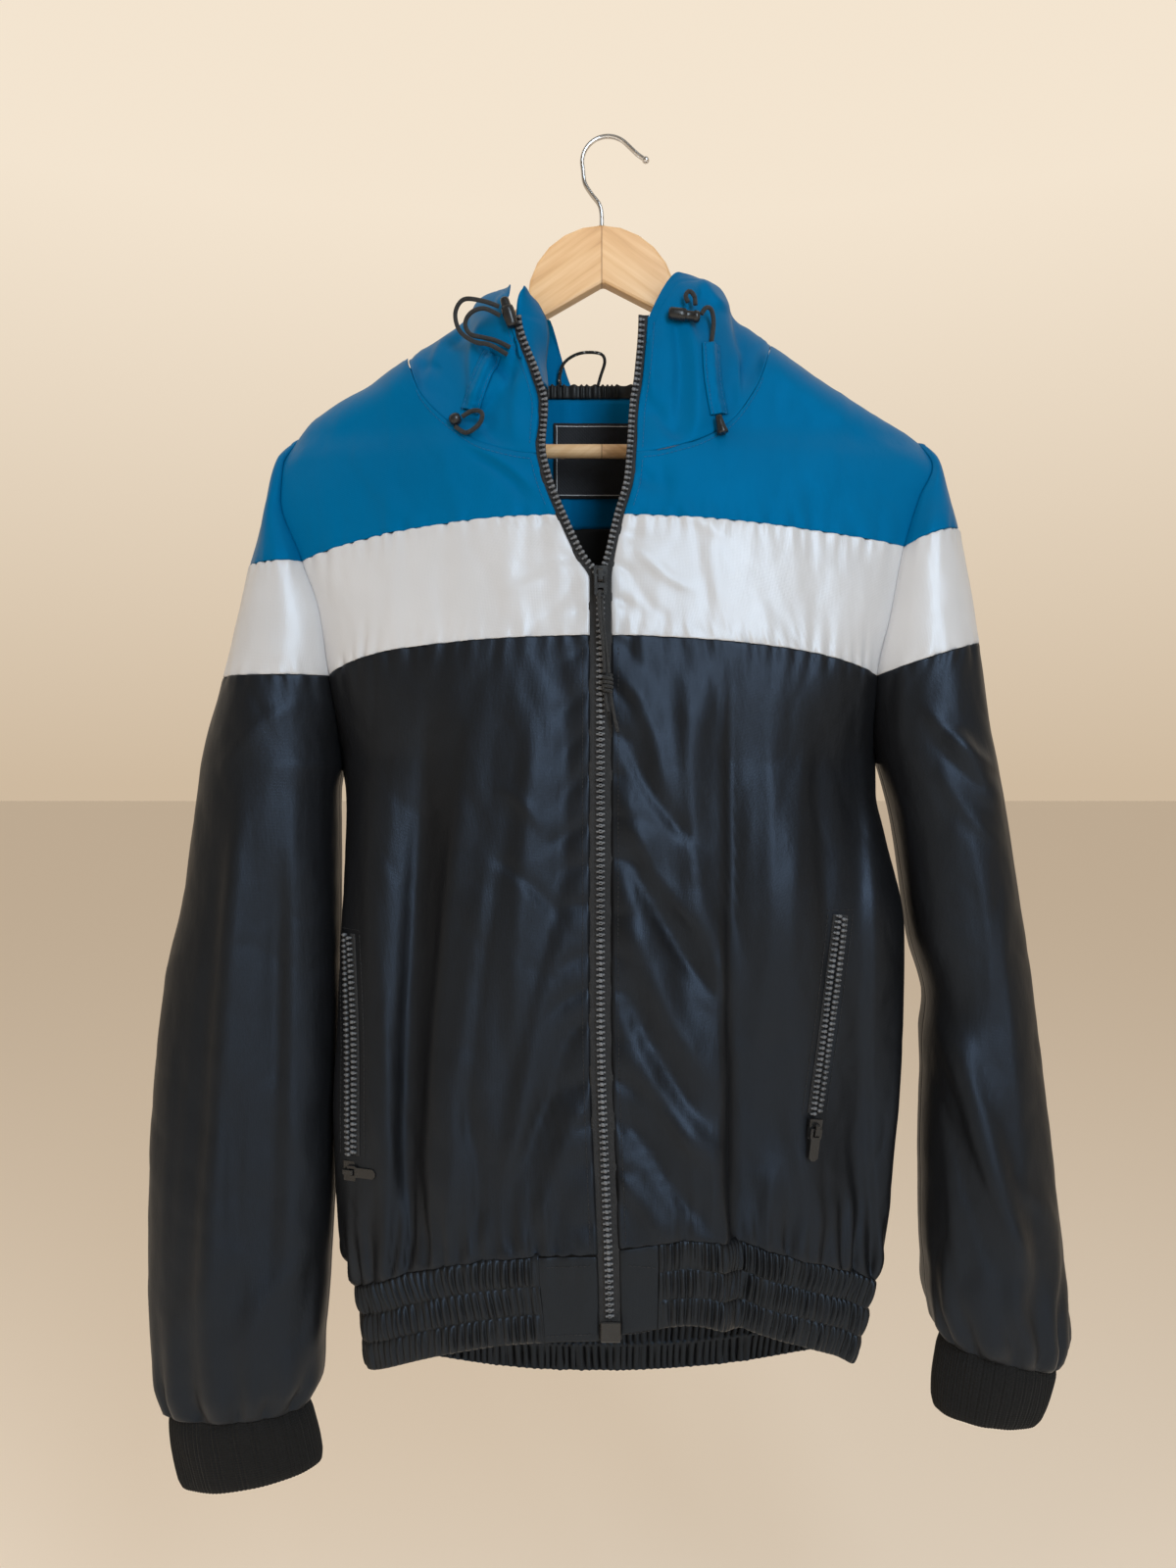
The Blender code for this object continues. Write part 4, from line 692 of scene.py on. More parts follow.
def cut_size(points, ring=False):
    """Width and length in metres that a grid of cloth has along its own folds, and its area."""
    if ring:
        points = np.concatenate([points, points[:, :1]], axis=1)
    widths = np.linalg.norm(np.diff(points, axis=1), axis=-1).sum(axis=1) * MM
    lengths = np.linalg.norm(np.diff(points, axis=0), axis=-1).sum(axis=0) * MM
    one, two = points[1:, 1:] - points[:-1, :-1], points[1:, :-1] - points[:-1, 1:]
    area = 0.5 * np.linalg.norm(np.cross(one, two), axis=-1).sum() * MM * MM
    width, length = widths.max(), lengths.max()
    if area < 0.4 * width * length:
        width, length = widths.mean(), lengths.mean()
    return (float(width), float(length)), float(min(area, width * length))


def shell(node, suffix, points, material, lining=None, thickness=0.9, ring=False):
    """A thin cloth shell for a node, from its outer points, with its lining on the inside."""
    name = f"{node}_{suffix}"
    CUTS[name] = cut_size(points, ring)
    obj = SHELLS[node] = add(name, mesh_from(name, points, ring))
    obj.data.materials.append(material)
    obj.data.materials.append(lining or material)
    solid = obj.modifiers.new("thickness", "SOLIDIFY")
    solid.thickness = thickness * MM
    solid.offset = -1.0
    solid.material_offset = 1
    solid.material_offset_rim = 0
    dress(obj, material, [node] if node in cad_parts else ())


def polygon_mesh(name, points, faces):
    mesh = bpy.data.meshes.new(name)
    mesh.from_pydata((np.asarray(points) * MM).tolist(), [], [list(map(int, f)) for f in faces])
    mesh.shade_smooth()
    return mesh


def repeated(name, shape, frames):
    """One piece of many copies of a small shape (points, faces), each in its own frame."""
    points, faces = shape
    points = np.asarray(points, float)
    all_points, all_faces = [], []
    for count, (place, *axes) in enumerate(frames):
        all_points.append(points @ np.stack(axes) + place)
        all_faces += [[corner + count * len(points) for corner in face] for face in faces]
    return add(name, polygon_mesh(name, np.concatenate(all_points), all_faces))


def rounded_block(width, length, height, bevel):
    """Points and faces of a block on the plane z 0 with its upper edges taken off."""
    points, faces = [], []
    for z, inset in ((0, 0), (height - bevel, 0), (height, bevel)):
        w, l = width / 2 - inset, length / 2 - inset
        c = min(bevel, w / 2, l / 2)
        ring = [(-w, -l + c), (-w + c, -l), (w - c, -l), (w, -l + c)]
        ring += [(w, l - c), (w - c, l), (-w + c, l), (-w, l - c)]
        points += [(x, y, z) for x, y in ring]
    for level in (0, 8):
        for i in range(8):
            j = (i + 1) % 8
            faces.append((level + i, level + j, level + 8 + j, level + 8 + i))
    return points, faces + [tuple(range(16, 24)), tuple(range(7, -1, -1))]


# ---------------------------------------------------------------- materials


def shade(colour, factor):
    return tuple(c * factor for c in colour)


class Shader:
    """A material's node tree, with short ways to add the nodes that cloth and wood need."""

    def __init__(self, name, colour, roughness, metallic=0.0):
        self.material = bpy.data.materials.new(name)
        self.material.use_nodes = True
        self.tree = self.material.node_tree
        self.bsdf = self.tree.nodes["Principled BSDF"]
        self.colour = colour
        self.set(Base_Color=(*colour, 1), Roughness=roughness, Metallic=metallic)
        self.height = None

    def set(self, **values):
        for name, value in values.items():
            self.bsdf.inputs[name.replace("_", " ")].default_value = value

    def node(self, kind, **values):
        made = self.tree.nodes.new("ShaderNode" + kind)
        for name, value in values.items():
            if hasattr(made, name):
                setattr(made, name, value)
            else:
                made.inputs[name.replace("_", " ")].default_value = value
        return made

    def link(self, out, into):
        self.tree.links.new(out, into)

    def to(self, socket, value):
        self.link(value, self.bsdf.inputs[socket])

    def place(self, scale=(1, 1, 1), turn=(0, 0, 0), uv=False):
        """Object or UV coordinates, stretched and turned."""
        source = self.node("TexCoord")
        mapping = self.node("Mapping", Scale=scale, Rotation=turn)
        self.link(source.outputs["UV" if uv else "Object"], mapping.inputs["Vector"])
        return mapping.outputs["Vector"]

    def noise(self, vector, scale, detail=2.0, roughness=0.5):
        made = self.node("TexNoise", Scale=scale, Detail=detail, Roughness=roughness)
        self.link(vector, made.inputs["Vector"])
        return made.outputs["Fac"]

    def wave(self, vector, scale, direction="X", distortion=0.0):
        made = self.node("TexWave", bands_direction=direction, Scale=scale, Distortion=distortion)
        self.link(vector, made.inputs["Vector"])
        return made.outputs["Fac"]

    def math(self, operation, a, b):
        made = self.node("Math", operation=operation)
        for socket, value in zip(made.inputs, (a, b)):
            if isinstance(value, (int, float)):
                socket.default_value = value
            else:
                self.link(value, socket)
        return made.outputs[0]

    def span(self, value, low, high, from_high=1.0):
        made = self.node("MapRange", From_Max=from_high, To_Min=low, To_Max=high)
        self.link(value, made.inputs["Value"])
        return made.outputs["Result"]

    def ramp(self, value, *stops):
        made = self.node("ValToRGB")
        elements = made.color_ramp.elements
        while len(elements) < len(stops):
            elements.new(0.5)
        for element, (at, colour) in zip(elements, stops):
            element.position = at
            element.color = (*colour, 1)
        self.link(value, made.inputs["Fac"])
        return made.outputs["Color"]

    def ramp_base_colour(self, value, dark, light, start=0.3, end=0.7):
        """Runs the base colour from a darker shade to a lighter one by the value; along the
        thread's plies this is painted shade and highlight.
        """
        stops = ((start, shade(self.colour, dark)), (end, shade(self.colour, light)))
        self.to("Base Color", self.ramp(value, *stops))

    def bump(self, height, distance, strength=1.0):
        made = self.node("Bump", Distance=distance * MM, Strength=strength)
        self.link(height, made.inputs["Height"])
        if self.height is not None:
            self.link(self.height, made.inputs["Normal"])
        self.height = made.outputs["Normal"]
        self.link(self.height, self.bsdf.inputs["Normal"])


def nylon(name, colour, roughness, sheen, crinkle, tint, gloss):
    """Plain-woven nylon: a fine weave, small crinkles, and a soft sheen."""
    made = Shader(name, colour, roughness)
    cloth = made.place(uv=True)
    made.ramp_base_colour(made.noise(made.place(), 9.0, 3.0), 0.93, 1.07)
    patches = made.noise(made.place(), 55.0, 3.0)
    made.to("Roughness", made.span(patches, roughness - 0.06, roughness + 0.07))
    crumple = made.noise(made.place((1, 1, 0.4)), 62.0, 4.0, 0.55)
    made.bump(crumple, 1.1 * crinkle, 0.55)
    weave = made.math("ADD", made.wave(cloth, 330.0, "X"), made.wave(cloth, 330.0, "Y"))
    made.bump(weave, 0.06, 0.35)
    tint = (*tint, 1)
    made.set(Sheen_Weight=sheen, Sheen_Roughness=0.35, Sheen_Tint=tint)
    made.set(Specular_IOR_Level=gloss, Specular_Tint=tint)
    return made.material


def knit(name, colour, rib):
    """Ribbed knit: rows of small stitches down each rib, which is rib millimetres wide."""
    made = Shader(name, colour, 0.85)
    cloth = made.place(uv=True)
    made.bump(made.wave(cloth, 1000.0 / rib / 6.28, "X", 0.6), 0.5, 0.8)
    made.bump(made.wave(cloth, 190.0, "Y", 1.2), 0.25, 0.6)
    made.ramp_base_colour(made.noise(made.place(), 900.0, 3.0), 0.75, 1.35, end=0.75)
    made.set(Specular_IOR_Level=0.25, Sheen_Weight=0.03, Sheen_Roughness=0.5)
    return made.material


def braid(name, colour, fleck=None):
    """Round braided cord: two crossing sets of threads, and flecks in some cords."""
    made = Shader(name, colour, 0.75)
    where = made.place()
    one = made.wave(made.place(turn=(0.5, 0.6, 0)), 420.0, "X", 1.0)
    two = made.wave(made.place(turn=(-0.5, -0.6, 0)), 420.0, "Z", 1.0)
    made.bump(made.math("ADD", one, two), 0.3, 0.9)
    if fleck:
        flecks = made.ramp(made.noise(where, 380.0), (0.45, colour), (0.6, colour), (0.66, fleck))
        made.to("Base Color", flecks)
    else:
        made.ramp_base_colour(made.noise(where, 700.0), 0.7, 1.5)
    made.set(Sheen_Weight=0.05)
    return made.material


def thread(name, colour):
    """Twisted sewing thread: fine slanting plies, with painted shade in their grooves and a painted
    highlight on their crests.
    """
    made = Shader(name, colour, 0.6)
    plies = made.wave(made.place(turn=(0.4, 0.5, 0.4)), 900.0, "X", 0.6)
    made.bump(plies, 0.05, 0.6)
    # painted shade and highlight: the colour follows the ply wave, darker in its grooves and
    # lighter on its crests
    made.ramp_base_colour(plies, 0.75, 1.2, 0.2, 0.8)
    return made.material


def moulded(name, colour, roughness):
    made = Shader(name, colour, roughness)
    where = made.place()
    patches = made.noise(where, 240.0, 3.0)
    made.to("Roughness", made.span(patches, roughness - 0.08, roughness + 0.14))
    made.bump(made.noise(where, 1400.0), 0.05, 0.5)
    made.ramp_base_colour(made.noise(where, 60.0), 0.85, 1.2)
    return made.material


def tape_weave(name, colour):
    made = Shader(name, colour, 0.8)
    cloth = made.place(uv=True)
    herring = made.math("ADD", made.wave(cloth, 200.0, "X"), made.wave(cloth, 260.0, "DIAGONAL"))
    made.bump(herring, 0.16, 0.7)
    made.ramp_base_colour(made.noise(made.place(), 300.0), 0.8, 1.3)
    made.set(Sheen_Weight=0.04)
    return made.material


def timber(name):
    """Clear-lacquered pine: long grain along each arm, and the glue line between the halves."""
    made = Shader(name, (0.7, 0.45, 0.24), 0.38)
    glue_line, lean = 0.0045, 0.62

    def plus(a, b):
        return made.math("ADD", a, b)

    def times(a, b):
        return made.math("MULTIPLY", a, b)

    split = made.node("SeparateXYZ")
    made.link(made.node("TexCoord").outputs["Object"], split.inputs[0])
    x, y, z = split.outputs
    beside = made.math("ABSOLUTE", plus(x, glue_line), 0.0)
    side = made.math("SIGN", plus(x, glue_line), 0.0)
    along = made.math("SUBTRACT", times(beside, math.cos(lean)), times(z, math.sin(lean)))
    across = plus(times(beside, math.sin(lean)), times(z, math.cos(lean)))
    join = made.node("CombineXYZ")
    made.link(times(along, 9.0), join.inputs[0])
    made.link(times(across, 150.0), join.inputs[1])
    made.link(plus(times(y, 110.0), times(side, 7.0)), join.inputs[2])
    rings = made.noise(join.outputs[0], 1.0, 3.0, 0.55)
    broad = made.noise(made.place(), 16.0)
    wood = made.ramp(
        plus(times(rings, 0.75), times(broad, 0.25)),
        (0.3, (0.50, 0.27, 0.115)),
        (0.45, (0.66, 0.40, 0.195)),
        (0.6, (0.74, 0.49, 0.265)),
        (0.8, (0.80, 0.56, 0.33)),
    )
    glue = made.node("Mix", data_type="RGBA", blend_type="MULTIPLY", Factor=1.0)
    made.link(wood, glue.inputs["A"])
    near = made.span(beside, 0.0, 1.0, 0.0016)
    line = made.ramp(near, (0.0, (0.5, 0.42, 0.34)), (0.5, (1, 1, 1)))
    made.link(line, glue.inputs["B"])
    made.to("Base Color", glue.outputs["Result"])
    made.to("Roughness", made.span(rings, 0.46, 0.3))
    made.bump(rings, 0.12, 0.5)
    made.set(Coat_Weight=0.25, Coat_Roughness=0.25)
    return made.material


def bright_steel(name):
    made = Shader(name, (0.78, 0.79, 0.81), 0.12, 1.0)
    made.to("Roughness", made.span(made.noise(made.place((1, 1, 0.2)), 300.0, 3.0), 0.08, 0.22))
    made.bump(made.noise(made.place(), 600.0), 0.02, 0.4)
    return made.material


# name, colour, roughness, sheen, crinkle, tint, gloss
BLUE = nylon("blue_nylon", (0.0002, 0.1, 0.235), 0.47, 0.0, 0.9, (0.0, 0.4, 1.0), 0.32)
WHITE = nylon("white_nylon", (0.49, 0.485, 0.495), 0.35, 0.02, 0.7, (0.72, 0.85, 1), 0.9)
CHARCOAL = nylon(
    "charcoal_nylon", (0.0062, 0.0060, 0.0062), 0.45, 0.0, 1.1, (0.55, 0.72, 1.0), 0.42
)
INSIDE = nylon("inside_nylon", (0.006, 0.0062, 0.0066), 0.6, 0.0, 1.4, (1, 1, 1), 0.2)
HEM_CLOTH = nylon("hem_nylon", (0.0078, 0.0077, 0.0078), 0.43, 0.0, 0.7, (0.6, 0.76, 1.0), 0.38)
RIB = knit("cuff_knit", (0.0065, 0.0066, 0.007), 2.0)
TRIM = nylon("trim_nylon", (0.009, 0.0095, 0.010), 0.5, 0.03, 0.6, (1, 1, 1), 0.4)
THREAD_BLUE = thread("blue_thread", (0.004, 0.10, 0.24))
THREAD_DARK = thread("dark_thread", (0.016, 0.017, 0.019))
CORD_BLACK = braid("cord_braid", (0.019, 0.0195, 0.0205))
CORD_FLECK = braid("loop_braid", (0.008, 0.0085, 0.009), (0.4, 0.4, 0.38))
PLASTIC = moulded("black_plastic", (0.012, 0.0125, 0.0135), 0.26)
TEETH = moulded("grey_teeth", (0.115, 0.12, 0.13), 0.4)
TAPE = tape_weave("zip_tape", (0.013, 0.0135, 0.015))
WOOD = timber("pine")
STEEL = bright_steel("bright_wire")
LABEL = tape_weave("label_weave", (0.006, 0.007, 0.010))
LABEL_LINE = thread("label_line", (0.5, 0.5, 0.52))

# ---------------------------------------------------------------- body and sleeves

STEP = 2.9
PANELS = {
    # material, and the width and height that set how fine the panel's grid is
    "yoke": (BLUE, 190, 165),
    "band": (WHITE, 190, 88),
    "lower": (CHARCOAL, 205, 450),
}


def cross_line(line, face, side, share):
    """Height of one of the body's lines: shoulder, chest seam, waist seam or hem."""
    if line == 0:
        return top_line(face, side, share)
    if line == len(PANELS):
        return hem_line(HEM_TOP, face, side, share)
    return seam_line((CHEST_SEAM, BODY_SEAM)[line - 1], side, share)


def body_panel(face, side, row):
    """Fine points of one panel half and their relief, columns anticlockwise seen from above."""
    _, width, height = PANELS[row]
    share = spaced(width, STEP)
    if (side == LEFT) == (face == "front"):
        share = share[::-1]
    first = list(PANELS).index(row)
    top, bottom = (cross_line(line, face, side, share) for line in (first, first + 1))
    down = spaced(height, STEP)
    z = mix(top[None, :], bottom[None, :], down[:, None])
    wide = np.broadcast_to(share[None, :], z.shape)
    points = torso(face, side, wide, z)
    above, below = top[None, :] - z, z - bottom[None, :]
    relief = body_relief(face, side, wide, points, above, below, row)
    edges = [above, below, (1 - wide) * width]
    if face == "front":
        edges.append(wide * width)
    return points, relief + seam_dip(*edges)


def make_body():
    for row, (material, _, _) in PANELS.items():
        for side, name in SIDES.items():
            front = lined(*body_panel("front", side, row))
            shell(f"front_{row}_{name}", "cloth", front, material, INSIDE)
        halves = zip(body_panel("back", RIGHT, row), body_panel("back", LEFT, row))
        points, relief = (np.concatenate([right, left[:, 1:]], axis=1) for right, left in halves)
        shell(f"back_{row}", "cloth", lined(points, relief), material, INSIDE)


def sleeve_relief(side, share, point, top, bottom, row, around):
    x, z = point[..., 0], point[..., 2]
    seed = 31 if side == LEFT else 41
    turn = share * around
    rise = rumple(turn, z, seed, 0.05 * side, 1.0 if row == "main" else 0.7)
    front = smoothstep((0.62 - share) / 0.2)
    behind = creases(SLEEVE_CREASES[side], x + 5 * side, z - 14)
    rise += front * creases(SLEEVE_CREASES[side], x, z) + (1 - front) * 0.8 * behind
    if row == "main":
        puckers = tucks(turn, bottom, 19, 34, 5.6, seed + 2)
        rise += puckers + gathers(turn, bottom, 41, 110, 4.2, seed + 6)
        rise += gathers(turn, top, 21, 30, 0.8, seed + 3) + tucks(turn, top, 13, 11, 1.1, seed + 3)
        rise = mix(0.25 * rise - 0.8, rise, smoothstep(bottom / 6))
    else:
        rise += tucks(turn, bottom, 12, 9, 0.9, seed + 4)
    if row == "band":
        rise += tucks(turn, top, 11, 9, 0.9, seed + 5)
    sewn = smoothstep((z - ARMPIT + 40) / 40)
    hold = smoothstep(np.minimum(share, 1 - share) / 0.08)
    meeting = (rise[:, :1] + rise[:, -1:]) / 2
    return mix(meeting, rise, hold) * mix(1.0, 0.2 + 0.8 * hold, sewn)


def sleeve_part(side, row, material, top, bottom, around):
    share = spaced(around, STEP)
    share = share[::-1] if side == LEFT else share
    down = spaced(abs(top - bottom), STEP)
    if row == "cap":
        down = down**1.35
    z = np.broadcast_to(mix(top, bottom, down)[:, None], (len(down), len(share)))
    wide = np.broadcast_to(share[None, :], z.shape)
    points = sleeve(side, wide, z)
    relief = sleeve_relief(side, wide, points, top - z, z - bottom, row, around)
    relief = relief + seam_dip(*([z - bottom] if row == "cap" else [z - bottom, top - z]))
    sewn = np.exp(-((np.minimum(wide, 1 - wide) * around / 1.3) ** 2))
    relief = relief - 0.85 * sewn * (z >= ARMPIT)
    if row == "cap":
        relief = relief * smoothstep(down * 8)[:, None]
        points[0] = points[0].mean(0)
    outer = lined(points, relief)
    if row == "cap":
        outer[0] = points[0] + np.array([0, 0, 0.6])
    for edge in (0, -1):
        tucked = (z[:, edge] >= ARMPIT).astype(float)
        outer[:, edge, 0] -= side * 1.8 * tucked
        outer[:, edge, 1] -= 0.9 * np.sign(outer[:, edge, 1]) * tucked
    shell(f"sleeve_{row}_{SIDES[side]}", "cloth", outer, material, INSIDE)


def make_sleeves():
    for side in SIDES:
        tip = float(top_line("front", side, np.array([1.0]))[0])
        chest, waist, end = CHEST_SEAM[side], BODY_SEAM[side], float(SLEEVE[side].keys[0])
        sleeve_part(side, "cap", BLUE, tip, chest, 130)
        sleeve_part(side, "band", WHITE, chest, waist, 190)
        sleeve_part(side, "main", CHARCOAL, waist, end, 240)


# ---------------------------------------------------------------- hood

# as CREASES, all on the standing front
HOOD_CREASES = numbers(
    """-60 -146 -74 -200 -3 5 -3.2; -88 -146 -64 -186 3 6 -6.5; -72 -190 -98 -214 -4 5 -3.2
    -84 -136 -84 -212 7 8 3.6; -104 -140 -122 -190 5 7 3; -96 -122 -108 -160 -3 5 -3.2
    -74 -124 -62 -142 3 5 2.4; -58 -176 -62 -232 3 6 2.6; -88 -196 -66 -236 5 6 -2
    -112 -176 -134 -172 3 6 -2; 30 -148 30 -206 2 5 2.4; 42 -132 44 -226 -4 6 -2.8
    54 -140 56 -232 -3 8 3.4; 64 -116 60 -160 3 5 -2.4; 84 -118 90 -200 -3 6 -4
    98 -132 88 -208 4 7 3.4; 62 -108 82 -132 4 5 3; 26 -196 52 -230 4 6 -2"""
)


def make_hood():
    rows = spaced(150, 2.2)
    front = np.linspace(0, NECK_SHARE, 54)
    back = np.linspace(NECK_SHARE, 0, 60)
    for side, name in SIDES.items():
        order = [("front", s) for s in front] + [("back", s) for s in back[1:]]
        if side == LEFT:
            order = order[::-1]
        points = np.stack([hood_column(side, face, s, rows) for face, s in order], axis=1)
        x, y, z = points[..., 0], points[..., 1], points[..., 2]
        place = np.array([neck_place(side, face, s) for face, s in order])[None, :]
        middle = smoothstep(np.abs(place - 2) / 0.05)
        forward = smoothstep((30 - y) / 25)
        relief = rumple(x, z, 51 + side, -0.2 * side, 0.7)
        relief = relief + forward * creases(HOOD_CREASES, x, z)
        relief = relief + (1 - forward) * 1.8 * noise(x / 24, z / 60, 57 + side)
        relief = relief * (0.3 + 0.7 * middle)
        length = np.linalg.norm(np.diff(points, axis=0), axis=-1).sum(0)[None, :]
        above, below = rows[:, None] * length, (1 - rows[:, None]) * length
        relief = relief * (0.3 + 0.7 * smoothstep(below / 12)) + seam_dip(below)
        relief = relief * smoothstep(place / 0.05) * smoothstep((4 - place) / 0.05)
        casing = np.exp(-(((above - 17) / 1.2) ** 2)) * forward
        shell(f"hood_{name}", "cloth", lined(points, relief - 0.5 * casing), BLUE)


# ---------------------------------------------------------------- hem and cuffs

HEM_HEIGHT = 54
CUFF_HEIGHT = 50
CUFF_RIBS = 104


def block_share(side, z):
    target = abs(float(zip_x(side, z))) + TAPE_WIDTH + HEM_BLOCK[side]
    low, high = 0.0, 1.0
    for _ in range(40):
        middle = (low + high) / 2
        if abs(torso("front", side, middle, z)[..., 0]) < target:
            low = middle
        else:
            high = middle
    return low


def hem_point(face, side, share, t):
    top = hem_line(HEM_TOP, face, side, share) - 0.5
    return torso(face, side, share, mix(top, hem_line(HEM_BOTTOM, face, side, share), t))


def make_hem():
    """Plain doubled blocks beside the zip, and the elastic in three puckered bands between."""
    middle_z = (HEM_TOP["front"] + HEM_BOTTOM["front"]) / 2
    ends = {side: block_share(side, middle_z) for side in SIDES}
    row = spaced(18, STEP, (0.7, 1.7))
    down = np.concatenate([row[:-1] / 3, (1 + row[:-1]) / 3, (2 + row) / 3])
    for side, name in SIDES.items():
        share = spaced(HEM_BLOCK[side], STEP) * ends[side]
        wide, t = np.meshgrid(share[::-1] if side == LEFT else share, down)
        points = hem_point("front", side, wide, t)
        x, z = points[..., 0], points[..., 2]
        above, below = t * HEM_HEIGHT, (1 - t) * HEM_HEIGHT
        relief = rumple(x, z, 61 + side, 0.0, 0.5) + gathers(x, above, 9, 16, 1.2, 62 + side)
        relief = relief + seam_dip(above, below, wide * 190)
        block = lined(points, relief, RIB_CLOTH / 2)
        shell(f"hem_block_{name}", "cloth", block, HEM_CLOTH, thickness=1.8)
    path = []
    for face, side, start, end in (
        ("front", RIGHT, ends[RIGHT], 1.0),
        ("back", RIGHT, 1.0, 0.0),
        ("back", LEFT, 0.0, 1.0),
        ("front", LEFT, 1.0, ends[LEFT]),
    ):
        share = np.linspace(start, end, 200)
        path.append(np.stack([hem_point(face, side, share, t) for t in down]))
    points = np.concatenate([part[:, :-1] for part in path[:-1]] + [path[-1]], axis=1)
    length = lengths_along(points[len(down) // 2])
    even = np.linspace(0, length[-1], 1040)
    grid = np.array([[np.interp(even, length, line[:, k]) for k in range(3)] for line in points])
    grid = grid.transpose(0, 2, 1)
    along, t = np.meshgrid(even, down)
    third = np.minimum(np.floor(3 * t + 1e-6), 2)
    drift = 0.42 * noise(along / 26, t * 1.2 + 0.5 * third, 71)
    phase = along / (4.7 + 0.22 * third) + drift + 0.3 * third
    ridge = np.abs(np.sin(math.pi * phase)) ** 0.85
    uneven = 0.85 + 0.75 * noise(along / 7.5, t * 1.5 + 4 + third, 72)
    bulge = 0.2 + 0.8 * np.abs(np.sin(3 * math.pi * t)) ** 0.45
    relief = 3.3 * ridge * uneven * bulge - 1.6 + 0.9 * noise(along / 60, t * 2, 73)
    ends_fade = smoothstep(along / 5) * smoothstep((length[-1] - along) / 5)
    relief = relief * (0.3 + 0.7 * ends_fade)
    relief[0] -= 1.6
    grid[0, :, 2] += 2.6
    elastic = lined(grid, relief, RIB_CLOTH / 2)
    shell("hem_elastic", "cloth", elastic, HEM_CLOTH, thickness=1.6)


def make_cuffs():
    turn = np.linspace(0, TAU, CUFF_RIBS * (6), endpoint=False)
    down = spaced(CUFF_HEIGHT, 3.0)
    out = ((1 + np.cos(turn)) / 2)[:, None]
    for side, name in SIDES.items():
        top, bottom = (np.array(CUFF[side][end]) for end in ("top", "bottom"))
        grid = []
        for t in down:
            inner, outer = mix(top, bottom, t)
            place = mix(inner[None, :], outer[None, :], out)
            y = CUFF_Y + mix(CUFF_DEPTH["top"], CUFF_DEPTH["bottom"], t) * np.sin(turn) * side
            grid.append(np.stack([side * place[:, 0], y, place[:, 1]], axis=-1))
        grid = np.stack(grid)
        normal = grid_normals(grid, ring=True)
        around = turn[None, :] * CUFF_RIBS / TAU
        rib = (0.5 + 0.5 * np.cos(TAU * around)) ** 0.8
        tuck = np.exp(-((down * CUFF_HEIGHT / 5) ** 2))
        tuck = tuck + np.exp(-(((1 - down) * CUFF_HEIGHT / 3) ** 2))
        slack = 1.2 * noise(turn[None, :] * 2.1, down[:, None] * 1.3, 81 + side)
        swell = 1.5 * np.sin(math.pi * down)[:, None]
        relief = 0.55 * rib - 1.1 * tuck[:, None] + slack + 1.0 + swell
        relief[0] -= 1.2
        grid[0, :, 2] += 5.0
        grid = grid + normal * relief[..., None]
        shell(f"cuff_{name}", "knit", grid, RIB, thickness=1.6, ring=True)


# ---------------------------------------------------------------- laying things on the cloth


EYE_Y = -200


def to_front(count):
    return np.tile([0.0, -1.0, 0.0], (count, 1))


def tree_of(node):
    """A search tree of a shell's outer face, in millimetres."""
    mesh = SHELLS[node].data
    points = [vertex.co / MM for vertex in mesh.vertices]
    return BVHTree.FromPolygons(points, [list(face.vertices) for face in mesh.polygons])


def cast(tree, x, z):
    """Point and outward normal where a line of sight from the front meets a surface."""
    hit, normal, _, _ = tree.ray_cast(Vector((x, EYE_Y, z)), Vector((0, 1, 0)))
    if hit is None:
        hit, normal, _, _ = tree.find_nearest(Vector((x, EYE_Y / 3, z)))
    return np.array(hit), np.array(normal) * (1 if normal.y < 0 else -1)


def lay(tree, spots):
    """Points and normals where the spots, rows of x, y and z, lie on a surface."""
    hits = [cast(tree, spot[0], spot[2]) for spot in spots]
    return np.array([hit for hit, _ in hits]), np.array([normal for _, normal in hits])


def flat_curve(path, count):
    """Points of a smooth curve through (x, z) places."""
    return profile_points([(x, 0, z) for x, z in path], np.linspace(0, 1, count))


def ribbon(path, count):
    """A flat curve and the unit vectors that point to its side."""
    middle = flat_curve(path, count)
    ahead = np.gradient(middle, axis=0)
    return middle, unit(np.stack([-ahead[:, 2], 0 * ahead[:, 0], ahead[:, 0]], axis=-1))


def facing_front(strip):
    """The strip with its columns in the order that turns its normals to the front."""
    middle = grid_normals(strip)[len(strip) // 2, 5]
    return strip[:, ::-1] if middle[1] > 0 else strip


def frames_along(points, normals, pitch, start=0.0):
    """Frames every pitch along a line: place, across, along and out."""
    points, normals = np.asarray(points, float), np.asarray(normals, float)
    length = lengths_along(points)
    frames = []
    for at in np.arange(start, length[-1], pitch):
        i = int(np.clip(np.searchsorted(length, at, side="right") - 1, 0, len(points) - 2))
        t = (at - length[i]) / max(length[i + 1] - length[i], 1e-9)
        place, out = mix(points[i], points[i + 1], t), unit(mix(normals[i], normals[i + 1], t))
        ahead = points[min(i + 2, len(points) - 1)] - points[max(i - 1, 0)]
        along = unit(ahead - out * ahead.dot(out))
        frames.append((place, np.cross(along, out), along, out))
    return frames


STITCH = rounded_block(0.42, 2.1, 0.36, 0.14)
STITCH_PITCH = 3.0


def stitches(name, lines, material):
    """Machine stitches along lines of (points, normals)."""
    frames = []
    for points, normals in lines:
        frames += frames_along(points + normals * 0.05, normals, STITCH_PITCH, 1.0)
    dress(repeated(name, STITCH, frames), material)


# ---------------------------------------------------------------- zips

TOOTH = {"pitch": 3.7, "length": 2.1, "height": 2.5}
ZIP_END = -797.0
SLIDER_Z = -322.0


